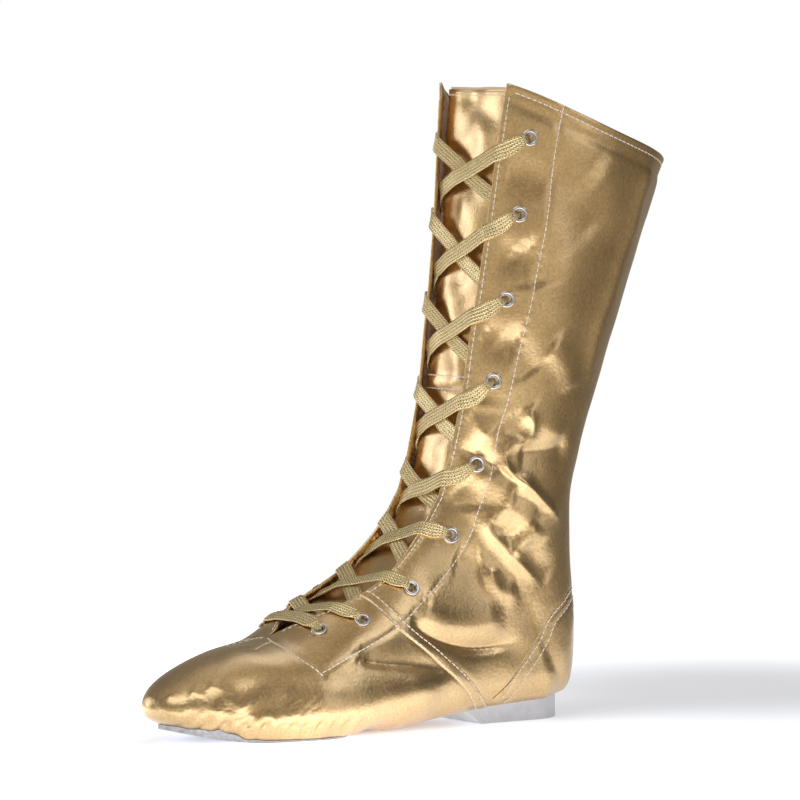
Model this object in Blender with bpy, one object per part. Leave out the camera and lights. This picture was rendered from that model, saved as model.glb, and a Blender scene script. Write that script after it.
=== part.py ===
"""Lace-up folk dance boot for the left foot: a soft hollow upper on a split sole.

+X points to the toe, +Y to the outer side and +Z up. Sizes are in millimetres, and
the meshes are made in metres. The wall of the boot is one surface, lofted through
sections that fan round from the toe, under the ankle bend, to the collar.
"""

import math
from collections import namedtuple
from functools import lru_cache

import bmesh
import bpy
import numpy as np
from mathutils import Matrix, Vector
from mathutils.bvhtree import BVHTree

MM = 0.001

# Driving dimensions
FOOT_LENGTH = 248.0
BALL_WIDTH = 88.0
INSTEP_HEIGHT = 105.0
SHAFT_HEIGHT = 324.0
COLLAR_DIP = 3.5
HEEL_HEIGHT = 9.0
WALL = 1.5

# Clearance between curved pieces, and how far round a spot it is kept
SEAT_GAP = 0.4
SEAT_STEP = 2.0

# Split sole, and the openings in the upper that it closes, as shares of the way round the wall
SOLE_REAR = 0.58 * FOOT_LENGTH
SOLE_FRONT = 0.968 * FOOT_LENGTH
SOLE_SHARE = 0.75
SOLE_REAR_ROUND = 26.0
SOLE_FRONT_ROUND = 18.0
FORE_OPENING = 0.26
HEEL_OPENING = 0.12
SPRING_START = 0.80 * FOOT_LENGTH
SPRING_LIFT = 9.0
HEEL_BACK = 9.5
HEEL_LENGTH = 57.5
HEEL_WIDTH = 47.0
HEEL_FRONT_LEAN = 9.0
HEEL_MIDDLE = 0.5
BLUNT_END = 0.02

# Insole
INSOLE_THICKNESS = 2.0
INSOLE_BACK = 15.0
INSOLE_FRONT = 0.955 * FOOT_LENGTH
INSOLE_DISH = 2.5
INSOLE_HEEL_ROUND = 24.0
INSOLE_TOE_ROUND = 20.0
ABOVE_INSOLE = 18.0

# Tongue
TONGUE_THICKNESS = 1.6
TONGUE_DROP = 5.6
TONGUE_CROWN = 1.5
TONGUE_UNDER_VAMP = 0.6
TONGUE_TUCK = 15.0
TONGUE_ROOT_ROWS = 0.75
TONGUE_BELOW_COLLAR = 2.0

# Eyelets, counted down from the collar
EYELET_PLACES = (22.0, 60.0, 102.0, 142.0, 182.0, 217.0, 250.0, 284.0, 309.0)
EYELET_INSET = 15.5
EYELET_HOLE = 2.2
EYELET_BARREL = 2.7
EYELET_FLANGE = 4.2
EYELET_RIM = 0.8
EYELET_BEVEL = 0.5
EYELET_MOUTH = 2.5
EYELET_SEAT = 0.45
EYELET_TAIL = 2.2
EYELET_SIDES = 8
EYELET_CLEARANCE = 0.3
EYELET_PUNCH = 12.0

# Lace: its height over the wall at the eyelet, over its own edge, where two pieces cross, and under the
# other edge; the last two are where it has landed and dipped, as shares of the half gap
LACE_WIDTH = 8.0
LACE_THICKNESS = 1.2
LACE_ON_WALL = 1.5
LACE_OVER_EDGE = 3.2
LACE_CROSSING = 0.45
LACE_UNDER_EDGE = -2.7
LACE_LANDED = 1.3
LACE_DIPPED = -0.88
LACE_END = 4.0
LACE_OFF_EYELET = EYELET_FLANGE + 0.8

# Distance over which the front's direction turns to the wall's beside the lacing
EDGE_TURN = 6.0

# Overlays sewn on the wall
OVERLAY_FROM = 0.3
OVERLAY_TO = 1.0
SEAM_WIDTH = 6.0
OVERLAY_REACH = 80.0

# Mesh density
ROW_PITCH = 19.0
WALL_COLUMNS = 14
SOLE_COLUMNS = 8
TONGUE_COLUMNS = 8
TONGUE_ROWS = 18
SOLE_STATIONS = 13
LACE_STEPS = 10
DENSE = 96
DENSE_EDGE = 400
NUDGE = 0.02
SHARP_ANGLE = math.radians(40)

# A section of the wall: its point under the sole or at the back, its point on top or in front, its half
# width, the sideways shift of both points in millimetres, the share of the way up at which it is widest,
# how square it is below and above that, and half the lacing gap in millimetres
Section = namedtuple(
    "Section", "back_along back_up front_along front_up half back_side front_side widest low_full up_full gap"
)

# Sections of the foot, toe to heel. The along columns are shares of the foot length, back_up of the heel
# height, front_up of the instep height, and half of half the ball width.
FOOT_ROWS = {
    "toe_tip": (0.997, 1.62, 0.997, 0.180, 0.09, -3.0, -4.0, 0.50, 2.0, 2.0, 0.0),
    "toe_round": (0.988, 1.26, 0.985, 0.226, 0.25, -3.0, -4.0, 0.46, 2.4, 2.2, 0.0),
    "toe_front": (0.958, 0.84, 0.950, 0.284, 0.46, -2.5, -4.5, 0.42, 2.8, 2.2, 0.0),
    "toe_box": (0.904, 0.46, 0.888, 0.351, 0.69, -1.0, -5.0, 0.40, 3.4, 2.2, 0.0),
    "toes": (0.828, 0.28, 0.808, 0.412, 0.87, 1.5, -4.5, 0.38, 4.2, 2.4, 0.0),
    "throat": (0.744, 0.25, 0.712, 0.458, 0.97, 3.5, -4.5, 0.36, 4.5, 2.4, 0.0),
    "ball": (0.668, 0.25, 0.628, 0.580, 1.00, 4.5, -5.0, 0.33, 4.5, 2.1, 14.0),
    "fore_waist": (0.584, 0.33, 0.556, 0.690, 0.96, 5.5, -5.5, 0.33, 3.8, 2.0, 20.0),
    "waist": (0.488, 0.51, 0.492, 0.795, 0.88, 5.5, -6.0, 0.33, 3.2, 2.0, 21.0),
    "rear_waist": (0.392, 0.76, 0.448, 0.905, 0.80, 4.0, -6.5, 0.34, 3.0, 2.0, 20.0),
    "heel_front": (0.280, 0.96, 0.417, 1.010, 0.75, 1.5, -6.5, 0.35, 3.0, 2.0, 19.0),
    "heel_seat": (0.168, 1.00, 0.399, 1.105, 0.74, 0.5, -6.0, 0.36, 3.0, 2.0, 18.5),
    "heel_corner": (0.078, 1.03, 0.388, 1.180, 0.75, 0.0, -5.0, 0.38, 3.0, 2.0, 18.5),
}

# Sections of the shaft, heel to collar. Both up columns are shares of the shaft height.
SHAFT_ROWS = {
    "heel_turn": (0.032, 0.035, 0.383, 0.395, 0.75, 0.0, -4.5, 0.39, 2.7, 2.0, 18.5),
    "heel_low": (0.012, 0.058, 0.377, 0.409, 0.76, 0.0, -4.0, 0.40, 2.4, 2.0, 18.5),
    "heel_bulge": (0.000, 0.111, 0.366, 0.431, 0.77, 0.0, -3.0, 0.42, 2.2, 2.0, 18.7),
    "heel_top": (0.004, 0.186, 0.355, 0.459, 0.78, 0.0, -2.0, 0.44, 2.1, 2.0, 19.0),
    "achilles": (0.010, 0.272, 0.341, 0.494, 0.79, 0.0, -1.5, 0.46, 2.1, 2.0, 19.3),
    "ankle": (0.008, 0.346, 0.327, 0.538, 0.81, 0.0, -1.0, 0.48, 2.1, 2.0, 19.7),
    "low_shaft": (-0.018, 0.437, 0.314, 0.612, 0.86, 0.0, -0.5, 0.49, 2.1, 2.0, 20.5),
    "mid_shaft": (-0.064, 0.536, 0.302, 0.698, 0.92, 0.0, 1.0, 0.50, 2.1, 2.0, 22.0),
    "calf_low": (-0.115, 0.646, 0.290, 0.799, 0.99, 0.0, 1.5, 0.50, 2.1, 2.0, 24.0),
    "calf": (-0.168, 0.760, 0.279, 0.902, 1.07, 0.0, 1.0, 0.50, 2.1, 2.0, 26.5),
    "collar": (-0.214, 0.857, 0.268, 1.003, 1.14, 0.0, 0.0, 0.50, 2.1, 2.0, 29.5),
}

# Seam lines in side view, along and up in millimetres from the heel on the floor
VAMP_SEAM = ((133.0, 66.0), (122.0, 54.0), (101.0, 37.0), (84.0, 23.0), (74.5, 15.5))
COUNTER_EDGE = ((54.0, 13.0), (43.0, 24.0), (27.0, 44.0), (14.0, 56.0), (-12.0, 67.0))

# Colours and finishes: red, green, blue, roughness and metallic
FINISHES = {
    "gold_leather": (0.72, 0.53, 0.26, 0.32, 1.0),
    "gold_lace": (0.70, 0.55, 0.28, 0.45, 0.9),
    "eyelet_steel": (0.78, 0.77, 0.78, 0.22, 1.0),
    "sole_suede": (0.70, 0.71, 0.76, 0.90, 0.0),
    "heel_foam": (0.78, 0.79, 0.84, 0.70, 0.0),
    "lining_cloth": (0.90, 0.86, 0.82, 0.90, 0.0),
}

SIDES = {"outer": 1, "inner": -1}
FOOT_SCALE = Section(FOOT_LENGTH, HEEL_HEIGHT, FOOT_LENGTH, INSTEP_HEIGHT, BALL_WIDTH / 2, 1, 1, 1, 1, 1, 1)
SHAFT_SCALE = FOOT_SCALE._replace(back_up=SHAFT_HEIGHT, front_up=SHAFT_HEIGHT)
SECTIONS = np.vstack(
    (np.array(list(FOOT_ROWS.values())) * FOOT_SCALE, np.array(list(SHAFT_ROWS.values())) * SHAFT_SCALE)
)
ROW_OF = {name: row for row, name in enumerate((*FOOT_ROWS, *SHAFT_ROWS))}
LAST_ROW = len(SECTIONS) - 1


def unit(vector):
    return vector / np.linalg.norm(vector)


# Wall of the boot


def smooth_row(place):
    """The section at a fractional row number, on a smooth curve through the table's rows."""
    low = min(max(int(math.floor(place)), 0), LAST_ROW - 1)
    step = place - low
    before, start, end, after = (SECTIONS[min(max(low + k, 0), LAST_ROW)] for k in (-1, 0, 1, 2))
    linear = (end - before) * step
    square = (2 * before - 5 * start + 4 * end - after) * step**2
    cube = (3 * start - before - 3 * end + after) * step**3
    return Section(*(start + 0.5 * (linear + square + cube)))


@lru_cache(maxsize=None)
def half_section(place, side):
    """One half of a section from the sole or back centre to the lacing edge: its points, and how far
    along its length each one lies."""
    row = smooth_row(place)
    top_angle = math.acos((max(row.gap, 0.0) / row.half) ** (row.up_full / 2))
    angle = np.linspace(-math.pi / 2, top_angle, DENSE)
    full = np.where(angle < 0, row.low_full, row.up_full)
    rise = np.sign(angle) * np.abs(np.sin(angle)) ** (2 / full)
    height = row.widest + rise * np.where(angle < 0, row.widest, 1 - row.widest)
    width = row.half * np.abs(np.cos(angle)) ** (2 / full)
    width[0] = 0.0
    dip = COLLAR_DIP * max(place - ROW_OF["calf"], 0.0) * (4 * height * (1 - height)) ** 2
    points = np.column_stack(
        (
            row.back_along + (row.front_along - row.back_along) * height,
            row.back_side + (row.front_side - row.back_side) * height + side * width,
            row.back_up + (row.front_up - row.back_up) * height - dip,
        )
    )
    along = np.concatenate(([0.0], np.cumsum(np.linalg.norm(np.diff(points, axis=0), axis=1))))
    return points, along


def wall_point(place, share, side):
    points, along = half_section(place, side)
    at = np.clip(share, 0.0, 1.0) * along[-1]
    return np.array([np.interp(at, along, points[:, k]) for k in range(3)])


def wall_normal(place, share, side):
    """The outward direction of the wall, from small steps along and across it."""
    low, high = max(place - NUDGE, 0.0), min(place + NUDGE, LAST_ROW)
    down, up = max(share - NUDGE, 0.0), min(share + NUDGE, 1.0)
    along = wall_point(high, share, side) - wall_point(low, share, side)
    across = wall_point(place, up, side) - wall_point(place, down, side)
    return unit(side * np.cross(along, across))


def row_places():
    """Row numbers of the mesh: every table row, and steps between rows that lie far apart."""
    places = [0.0]
    for row in range(LAST_ROW):
        ends = [half_section(float(row + k), 1)[0] for k in (0, 1)]
        apart = np.linalg.norm(ends[1] - ends[0], axis=1).max()
        steps = max(1, math.ceil(apart / ROW_PITCH))
        places += [row + (k + 1) / steps for k in range(steps)]
    return places


PLACES = row_places()


def wall_grid(lift):
    """Rows of points from the inner side's edge, round the back, to the outer side's edge."""
    shares = np.linspace(0.0, 1.0, WALL_COLUMNS + 1)
    columns = [(share, -1) for share in shares[:0:-1]] + [(share, 1) for share in shares]
    return [
        [wall_point(place, share, side) + lift * wall_normal(place, share, side) for share, side in columns]
        for place in PLACES
    ]


def wall_mesh(lift=0.0, closed=False, skip=lambda row, column: False):
    """Points and triangles of the wall: its rows up to the throat are rings, capped at the toe, and
    the rest are open at the lacing and the collar unless it is asked for closed."""
    rows = wall_grid(lift)
    points, index = [], []
    for place, row in zip(PLACES, rows):
        kept = row[:-1] if place <= ROW_OF["throat"] else row
        index.append([len(points) + column % len(kept) for column in range(len(row))])
        points += kept
    faces = []
    for number, (near, far) in enumerate(zip(index, index[1:])):
        for column in range(len(near) - 1):
            if not skip(number, column):
                faces.append((near[column], far[column], far[column + 1]))
                faces.append((near[column], far[column + 1], near[column + 1]))
    tip = len(points)
    points.append(np.array((FOOT_LENGTH + lift, *np.mean(rows[0], axis=0)[1:])))
    faces += [(index[0][column + 1], tip, index[0][column]) for column in range(len(rows[0]) - 1)]
    if closed:
        for near, far in zip(index, index[1:]):
            corners = tuple(dict.fromkeys((near[-1], far[-1], far[0], near[0])))
            if len(corners) > 2:
                faces.append(corners)
        faces.append(tuple(index[-1]))
    return points, faces


# Front of the boot, where the lacing lies


def half_gap(place):
    return max(smooth_row(place).gap, 0.0)


def front_facing(place):
    """The outward direction in the middle of the lacing."""
    low, high = place - NUDGE, min(place + NUDGE, LAST_ROW)
    along = sum(wall_point(high, 1.0, side) - wall_point(low, 1.0, side) for side in SIDES.values())
    return unit(np.cross((0.0, 1.0, 0.0), along))


def front_point(place, aside, lift):
    """A point of the front: aside is the distance from the middle of the lacing, measured along
    the wall outside the gap and along the chord within it, and lift is outward from there."""
    side = 1 if aside >= 0 else -1
    gap = half_gap(place)
    outside = abs(aside) - gap
    if outside < 0:
        blend = (aside + gap) / (2 * gap)
        base = (1 - blend) * wall_point(place, 1.0, -1) + blend * wall_point(place, 1.0, 1)
        return base + lift * front_facing(place)
    share = 1.0 - outside / half_section(place, side)[1][-1]
    turn = min(outside / EDGE_TURN, 1.0)
    facing = unit((1 - turn) * front_facing(place) + turn * wall_normal(place, share, side))
    return wall_point(place, share, side) + lift * facing


def lacing_edge():
    """Row numbers down the lacing edge from the collar to the throat, and their distances along it."""
    places = np.linspace(LAST_ROW, ROW_OF["throat"], DENSE_EDGE)
    edge = np.array([wall_point(place, 1.0, 1) for place in places])
    down = np.concatenate(([0.0], np.cumsum(np.linalg.norm(np.diff(edge, axis=0), axis=1))))
    return places, down


def front_places(distances):
    places, down = lacing_edge()
    return [float(place) for place in np.interp(distances, down, places)]


# Objects


def clear_scene():
    for old in list(bpy.data.objects):
        bpy.data.objects.remove(old)


def make_finish(name):
    *colour, roughness, metallic = FINISHES[name]
    material = bpy.data.materials.new(name)
    material.use_nodes = True
    shader = material.node_tree.nodes["Principled BSDF"]
    shader.inputs["Base Color"].default_value = (*colour, 1.0)
    shader.inputs["Roughness"].default_value = roughness
    shader.inputs["Metallic"].default_value = metallic
    return material


def add_object(name, points, faces, finish, boot, turn_out=True):
    mesh = bpy.data.meshes.new(name)
    mesh.from_pydata([Vector(point) * MM for point in points], [], faces)
    if turn_out:
        shape = bmesh.new()
        shape.from_mesh(mesh)
        bmesh.ops.recalc_face_normals(shape, faces=shape.faces)
        shape.to_mesh(mesh)
        shape.free()
    mesh.shade_smooth()
    mesh.set_sharp_from_angle(angle=SHARP_ANGLE)
    made = bpy.data.objects.new(name, mesh)
    bpy.context.scene.collection.objects.link(made)
    made.parent = boot
    if finish is not None:
        mesh.materials.append(finish)
    else:
        made.hide_render = True
        made.display_type = "WIRE"
    return made


def combine(target, other, operation):
    modifier = target.modifiers.new(f"{operation.lower()}_{other.name}", "BOOLEAN")
    modifier.operation = operation
    modifier.object = other


def tree_of(points, faces):
    return BVHTree.FromPolygons([Vector(point) for point in points], faces)


# Upper


def open_underneath(number, column):
    """True for the faces left out under the foot, where the sole pad and the heel close the upper."""
    place = PLACES[number]
    from_middle = abs(column + 0.5 - WALL_COLUMNS) / WALL_COLUMNS
    fore = ROW_OF["toe_box"] <= place < ROW_OF["ball"] and from_middle < FORE_OPENING
    rear = ROW_OF["heel_front"] <= place < ROW_OF["heel_corner"] and from_middle < HEEL_OPENING
    return fore or rear


def eyelet_frame(place, side):
    """Placement of an eyelet on the wall: its axis points outward."""
    aside = side * (half_gap(place) + EYELET_INSET)
    centre = front_point(place, aside, 0.0)
    axis = Vector(front_point(place, aside, 1.0) - centre)
    turn = axis.to_track_quat("Z", "Y").to_matrix().to_4x4()
    return Matrix.Translation(Vector(centre) * MM) @ turn


def make_upper(finishes, boot, frames):
    points, faces = wall_mesh(skip=open_underneath)
    upper = add_object("upper", points, faces, finishes["gold_leather"], boot, turn_out=False)
    shell = upper.modifiers.new("wall", "SOLIDIFY")
    shell.thickness = WALL * MM
    shell.offset = -1.0
    shell.use_even_offset = True
    punch = bmesh.new()
    for frame in frames:
        bmesh.ops.create_cone(
            punch,
            cap_ends=True,
            segments=EYELET_SIDES,
            radius1=(EYELET_BARREL + EYELET_CLEARANCE) * MM,
            radius2=(EYELET_BARREL + EYELET_CLEARANCE) * MM,
            depth=EYELET_PUNCH * MM,
            matrix=frame,
        )
    mesh = bpy.data.meshes.new("eyelet_punch")
    punch.to_mesh(mesh)
    punch.free()
    cutter = bpy.data.objects.new("eyelet_punch", mesh)
    bpy.context.scene.collection.objects.link(cutter)
    cutter.parent = boot
    cutter.hide_render = True
    cutter.display_type = "WIRE"
    combine(upper, cutter, "DIFFERENCE")
    return upper


# Sole, heel and insole


def half_width_at(along):
    """Half width of the last and its middle line at a distance from the heel."""
    rows = [smooth_row(place) for place in np.linspace(ROW_OF["heel_corner"], 0, DENSE_EDGE)]
    at = [row.back_along for row in rows]
    half = np.interp(along, at, [row.half for row in rows])
    middle = np.interp(along, at, [row.back_side for row in rows])
    return half, middle


def slab(stations, top_of, bottom_of, columns):
    """A closed plate: stations give x on top, x below, half width and middle line, and the two
    functions give the heights of its faces."""
    across = np.sin(np.linspace(-math.pi / 2, math.pi / 2, columns + 1))
    top, bottom = [], []
    for top_x, bottom_x, half, middle in stations:
        for share in across:
            y = middle + half * share
            top.append((top_x, y, top_of(top_x, y)))
            bottom.append((bottom_x, y, bottom_of(bottom_x, y)))
    width = columns + 1
    count = len(top)
    faces = []
    for row in range(len(stations) - 1):
        for column in range(columns):
            corner = row * width + column
            quad = (corner, corner + 1, corner + width + 1, corner + width)
            faces += [quad, tuple(count + k for k in reversed(quad))]
    rim = [row * width for row in range(len(stations))]
    rim += [(len(stations) - 1) * width + column for column in range(1, width)]
    rim += [row * width + columns for row in range(len(stations) - 2, -1, -1)]
    rim += list(range(columns - 1, 0, -1))
    for here, there in zip(rim, rim[1:] + rim[:1]):
        faces.append((here, there, count + there, count + here))
    return top + bottom, faces


def eased(start, end, count):
    """Stations that crowd towards both ends, where an outline turns."""
    return [start + (end - start) * (1 - math.cos(math.pi * k / count)) / 2 for k in range(count + 1)]


def round_end(distance, reach):
    """Share of the full width at a distance from a rounded end."""
    inside = min(max(distance / reach, BLUNT_END), 1.0)
    return math.sqrt(1 - (1 - inside) ** 2)


def heights_near(tree, x, y, start, direction):
    """Heights at which the wall is met, up or down, from spots close to a point."""
    steps = (-SEAT_STEP, 0.0, SEAT_STEP)
    spots = [Vector((x + dx, y + dy, start)) for dx in steps for dy in steps]
    hits = [tree.ray_cast(spot, Vector((0.0, 0.0, direction)))[0] for spot in spots]
    return [hit.z for hit in hits if hit]


def height_under(tree, x, y):
    """Where the sole's top lies, below the lowest spot of the wall close by."""
    return min(heights_near(tree, x, y, -BALL_WIDTH, 1.0)) - SEAT_GAP


def height_inside(tree, x, y):
    """Where the insole's underside lies, above the highest spot of the wall close by."""
    return max(heights_near(tree, x, y, ABOVE_INSOLE, -1.0)) + SEAT_GAP


def flat_reach(tree, x, middle):
    """How far out the floor inside stays within the insole's dish, on the nearer side."""
    limit = height_inside(tree, x, middle) + INSOLE_DISH
    offsets = np.arange(0.0, BALL_WIDTH / 2, 0.5)
    for offset in offsets:
        if max(height_inside(tree, x, middle + side * offset) for side in SIDES.values()) > limit:
            return offset
    return offsets[-1]


def toe_spring(x):
    return SPRING_LIFT * max((x - SPRING_START) / (FOOT_LENGTH - SPRING_START), 0.0) ** 2


def make_forefoot_sole(finishes, boot, outside):
    stations = []
    for x in eased(SOLE_REAR, SOLE_FRONT, SOLE_STATIONS):
        half, middle = half_width_at(x)
        ends = round_end(x - SOLE_REAR, SOLE_REAR_ROUND) * round_end(SOLE_FRONT - x, SOLE_FRONT_ROUND)
        stations.append((x, x, half * SOLE_SHARE * ends, middle))
    points, faces = slab(
        stations,
        lambda x, y: height_under(outside, x, y),
        lambda x, y: toe_spring(x),
        SOLE_COLUMNS,
    )
    return add_object("forefoot_sole", points, faces, finishes["sole_suede"], boot)


def make_heel(finishes, boot, outside):
    stations = []
    for share in eased(0.0, 1.0, SOLE_STATIONS):
        bottom_x = HEEL_BACK + HEEL_LENGTH * share
        top_x = bottom_x + HEEL_FRONT_LEAN * share**2
        half = HEEL_WIDTH / 2 * round_end(bottom_x - HEEL_BACK, HEEL_WIDTH / 2)
        stations.append((top_x, bottom_x, half, HEEL_MIDDLE))
    most = COUNTER_EDGE[0][1] - SEAT_GAP
    points, faces = slab(
        stations,
        lambda x, y: min(height_under(outside, x, y), most),
        lambda x, y: 0.0,
        SOLE_COLUMNS,
    )
    return add_object("heel", points, faces, finishes["heel_foam"], boot)


def make_insole(finishes, boot, inside):
    stations = []
    for x in eased(INSOLE_BACK, INSOLE_FRONT, SOLE_STATIONS):
        middle = half_width_at(x)[1]
        ends = round_end(x - INSOLE_BACK, INSOLE_HEEL_ROUND) * round_end(INSOLE_FRONT - x, INSOLE_TOE_ROUND)
        half = flat_reach(inside, x, middle) * ends
        stations.append((x, x, half, middle))
    points, faces = slab(
        stations,
        lambda x, y: height_inside(inside, x, y) + INSOLE_THICKNESS,
        lambda x, y: height_inside(inside, x, y),
        SOLE_COLUMNS,
    )
    return add_object("insole", points, faces, finishes["lining_cloth"], boot)


# Tongue


def make_tongue(finishes, boot):
    root = ROW_OF["throat"] - TONGUE_ROOT_ROWS
    edge_length = lacing_edge()[1][-1]
    places = [root, *front_places(np.linspace(edge_length, TONGUE_BELOW_COLLAR, TONGUE_ROWS))]
    rows = []
    for place in places:
        gap = half_gap(place)
        reach = gap + TONGUE_TUCK
        under_vamp = min(max((ROW_OF["throat"] - place) / TONGUE_ROOT_ROWS, 0.0), 1.0)
        drop = TONGUE_DROP + (WALL + TONGUE_UNDER_VAMP - TONGUE_DROP) * under_vamp
        row = []
        for share in np.linspace(-1.0, 1.0, TONGUE_COLUMNS + 1):
            aside = reach * share
            crown = TONGUE_CROWN * max(1 - (aside / gap) ** 2, 0.0) if gap else 0.0
            row.append(front_point(place, aside, crown - drop))
        rows.append(row)
    points = [point for row in rows for point in row]
    width = len(rows[0])
    faces = []
    for number in range(len(rows) - 1):
        for column in range(width - 1):
            corner = number * width + column
            faces.append((corner, corner + 1, corner + width + 1, corner + width))
    tongue = add_object("tongue", points, faces, finishes["gold_leather"], boot, turn_out=False)
    shell = tongue.modifiers.new("thickness", "SOLIDIFY")
    shell.thickness = TONGUE_THICKNESS * MM
    shell.offset = -1.0
    return tongue


# Eyelets


def eyelet_mesh(finish):
    """A turned ring: a barrel through the wall with a domed flange outside."""
    top = EYELET_SEAT + EYELET_RIM
    profile = (
        (EYELET_HOLE, -EYELET_TAIL),
        (EYELET_BARREL, -EYELET_TAIL),
        (EYELET_BARREL, EYELET_SEAT),
        (EYELET_FLANGE, EYELET_SEAT),
        (EYELET_FLANGE - EYELET_BEVEL, top),
        (EYELET_MOUTH, top),
    )
    points, faces = [], []
    for turn in range(EYELET_SIDES):
        angle = 2 * math.pi * turn / EYELET_SIDES
        points += [(r * math.cos(angle), r * math.sin(angle), z) for r, z in profile]
    count = len(profile)
    for turn in range(EYELET_SIDES):
        here, there = turn * count, (turn + 1) % EYELET_SIDES * count
        for k in range(count):
            after = (k + 1) % count
            faces.append((here + k, there + k, there + after, here + after))
    mesh = bpy.data.meshes.new("eyelet")
    mesh.from_pydata([Vector(point) * MM for point in points], [], faces)
    mesh.shade_smooth()
    mesh.set_sharp_from_angle(angle=SHARP_ANGLE)
    mesh.materials.append(finish)
    return mesh


def make_eyelets(finishes, boot, frames):
    mesh = eyelet_mesh(finishes["eyelet_steel"])
    for (side, number), frame in frames.items():
        made = bpy.data.objects.new(f"eyelet_{side}_{number}", mesh)
        bpy.context.scene.collection.objects.link(made)
        made.parent = boot
        made.matrix_local = frame


# Lace


def lace_lift(across, over):
    """Height of a lace between the two edges, from the edge it lies on (1) to the one it passes under (-1)."""
    middle = LACE_CROSSING if over else -LACE_CROSSING
    stops = (LACE_DIPPED, 0.0, 1.0, LACE_LANDED)
    return float(np.interp(across, stops, (LACE_UNDER_EDGE, middle, LACE_OVER_EDGE, LACE_ON_WALL)))


def lace_strip(path):
    """A flat strap along (point, outward) pairs."""
    centres = np.array([point for point, _ in path])
    tangents = np.gradient(centres, axis=0)
    points, faces = [], []
    for centre, tangent, (_, outward) in zip(centres, tangents, path):
        wide = unit(np.cross(outward, tangent)) * LACE_WIDTH / 2
        thick = unit(np.cross(tangent, wide)) * LACE_THICKNESS / 2
        points += [centre + wide + thick, centre - wide + thick, centre - wide - thick, centre + wide - thick]
    for number in range(len(path) - 1):
        here = 4 * number
        for k in range(4):
            after = (k + 1) % 4
            faces.append((here + k, here + after, here + 4 + after, here + 4 + k))
    last = 4 * (len(path) - 1)
    faces += [(3, 2, 1, 0), (last, last + 1, last + 2, last + 3)]
    return points, faces


def lace_path(place_from, place_to, side, start, finish, lift_of):
    """The line from an eyelet on one side to the edge of the other, between two rows of eyelets."""
    path = []
    from_aside = side * (half_gap(place_from) + EYELET_INSET)
    to_aside = -side * (half_gap(place_to) + EYELET_INSET)
    for share in np.linspace(start, finish, LACE_STEPS + 1):
        place = place_from + (place_to - place_from) * share
        aside = from_aside + (to_aside - from_aside) * share
        across = side * aside / half_gap(place)
        lift = lift_of(across)
        point = front_point(place, aside, lift)
        path.append((point, front_point(place, aside, lift + 1.0) - point))
    return path


def make_lace(finishes, boot, places):
    finish = finishes["gold_lace"]
    for number, (upper_row, lower_row) in enumerate(zip(places, places[1:]), start=1):
        reach = half_gap(upper_row) + half_gap(lower_row) + 2 * EYELET_INSET
        start = LACE_OFF_EYELET / reach
        stop = 1 - (EYELET_INSET + LACE_END) / reach
        strips = []
        for over, side in ((True, 1), (False, -1)):
            path = lace_path(upper_row, lower_row, side, start, stop, lambda c, over=over: lace_lift(c, over))
            strips.append(lace_strip(path))
        cross = add_object(f"lace_cross_{number}", *strips[0], finish, boot)
        under = add_object(f"lace_under_{number}", *strips[1], None, boot)
        combine(cross, under, "UNION")
    last = places[-1]
    start = LACE_OFF_EYELET / (2 * (half_gap(last) + EYELET_INSET))
    path = lace_path(last, last, 1, start, 1 - start, lambda c: LACE_ON_WALL)
    add_object("lace_bar", *lace_strip(path), finish, boot)


# Overlays


def prism(name, outline, near, far, boot):
    """A side-view outline drawn out across the boot, as a cutter."""
    count = len(outline)
    points = [(x, y, z) for y in (near, far) for x, z in outline]
    faces = [tuple(range(count)), tuple(range(2 * count - 1, count - 1, -1))]
    faces += [(k, (k + 1) % count, count + (k + 1) % count, count + k) for k in range(count)]
    return add_object(name, points, faces, None, boot)


def band(line, width):
    """The outline of a strip of this width along a line."""
    line = np.array(line)
    along = np.gradient(line, axis=0)
    aside = np.column_stack((-along[:, 1], along[:, 0]))
    aside *= width / 2 / np.linalg.norm(aside, axis=1)[:, None]
    return [tuple(point) for point in (*(line + aside), *(line - aside)[::-1])]


def make_overlay(name, outline, near, far, finish, boot, inner_form):
    points, faces = wall_mesh(OVERLAY_TO, closed=True)
    overlay = add_object(name, points, faces, finish, boot)
    combine(overlay, prism(f"{name}_outline", outline, near, far, boot), "INTERSECT")
    combine(overlay, inner_form, "DIFFERENCE")


def make_overlays(finishes, boot):
    gold = finishes["gold_leather"]
    inner_form = add_object("wall_form", *wall_mesh(OVERLAY_FROM, closed=True), None, boot)
    foot = COUNTER_EDGE[0][1]
    behind = COUNTER_EDGE[-1][0]
    make_overlay(
        "heel_counter", [*COUNTER_EDGE, (behind, foot)], -OVERLAY_REACH, OVERLAY_REACH, gold, boot, inner_form
    )
    strip = band(VAMP_SEAM, SEAM_WIDTH)
    make_overlay("vamp_seam_outer", strip, 0.0, OVERLAY_REACH, gold, boot, inner_form)
    make_overlay("vamp_seam_inner", strip, -OVERLAY_REACH, 0.0, gold, boot, inner_form)


def main():
    clear_scene()
    boot = bpy.data.objects.new("boot", None)
    bpy.context.scene.collection.objects.link(boot)
    finishes = {name: make_finish(name) for name in FINISHES}
    outside = tree_of(*wall_mesh())
    inside = tree_of(*wall_mesh(-WALL))
    eyelet_places = front_places(EYELET_PLACES)
    frames = {
        (name, number): eyelet_frame(place, side)
        for name, side in SIDES.items()
        for number, place in enumerate(eyelet_places, start=1)
    }
    make_upper(finishes, boot, frames.values())
    make_forefoot_sole(finishes, boot, outside)
    make_heel(finishes, boot, outside)
    make_insole(finishes, boot, inside)
    make_tongue(finishes, boot)
    make_eyelets(finishes, boot, frames)
    make_lace(finishes, boot, eyelet_places)
    make_overlays(finishes, boot)
    collar_back = smooth_row(LAST_ROW).back_along
    boot.location.x = -(FOOT_LENGTH + collar_back) / 2 * MM


main()
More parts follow.
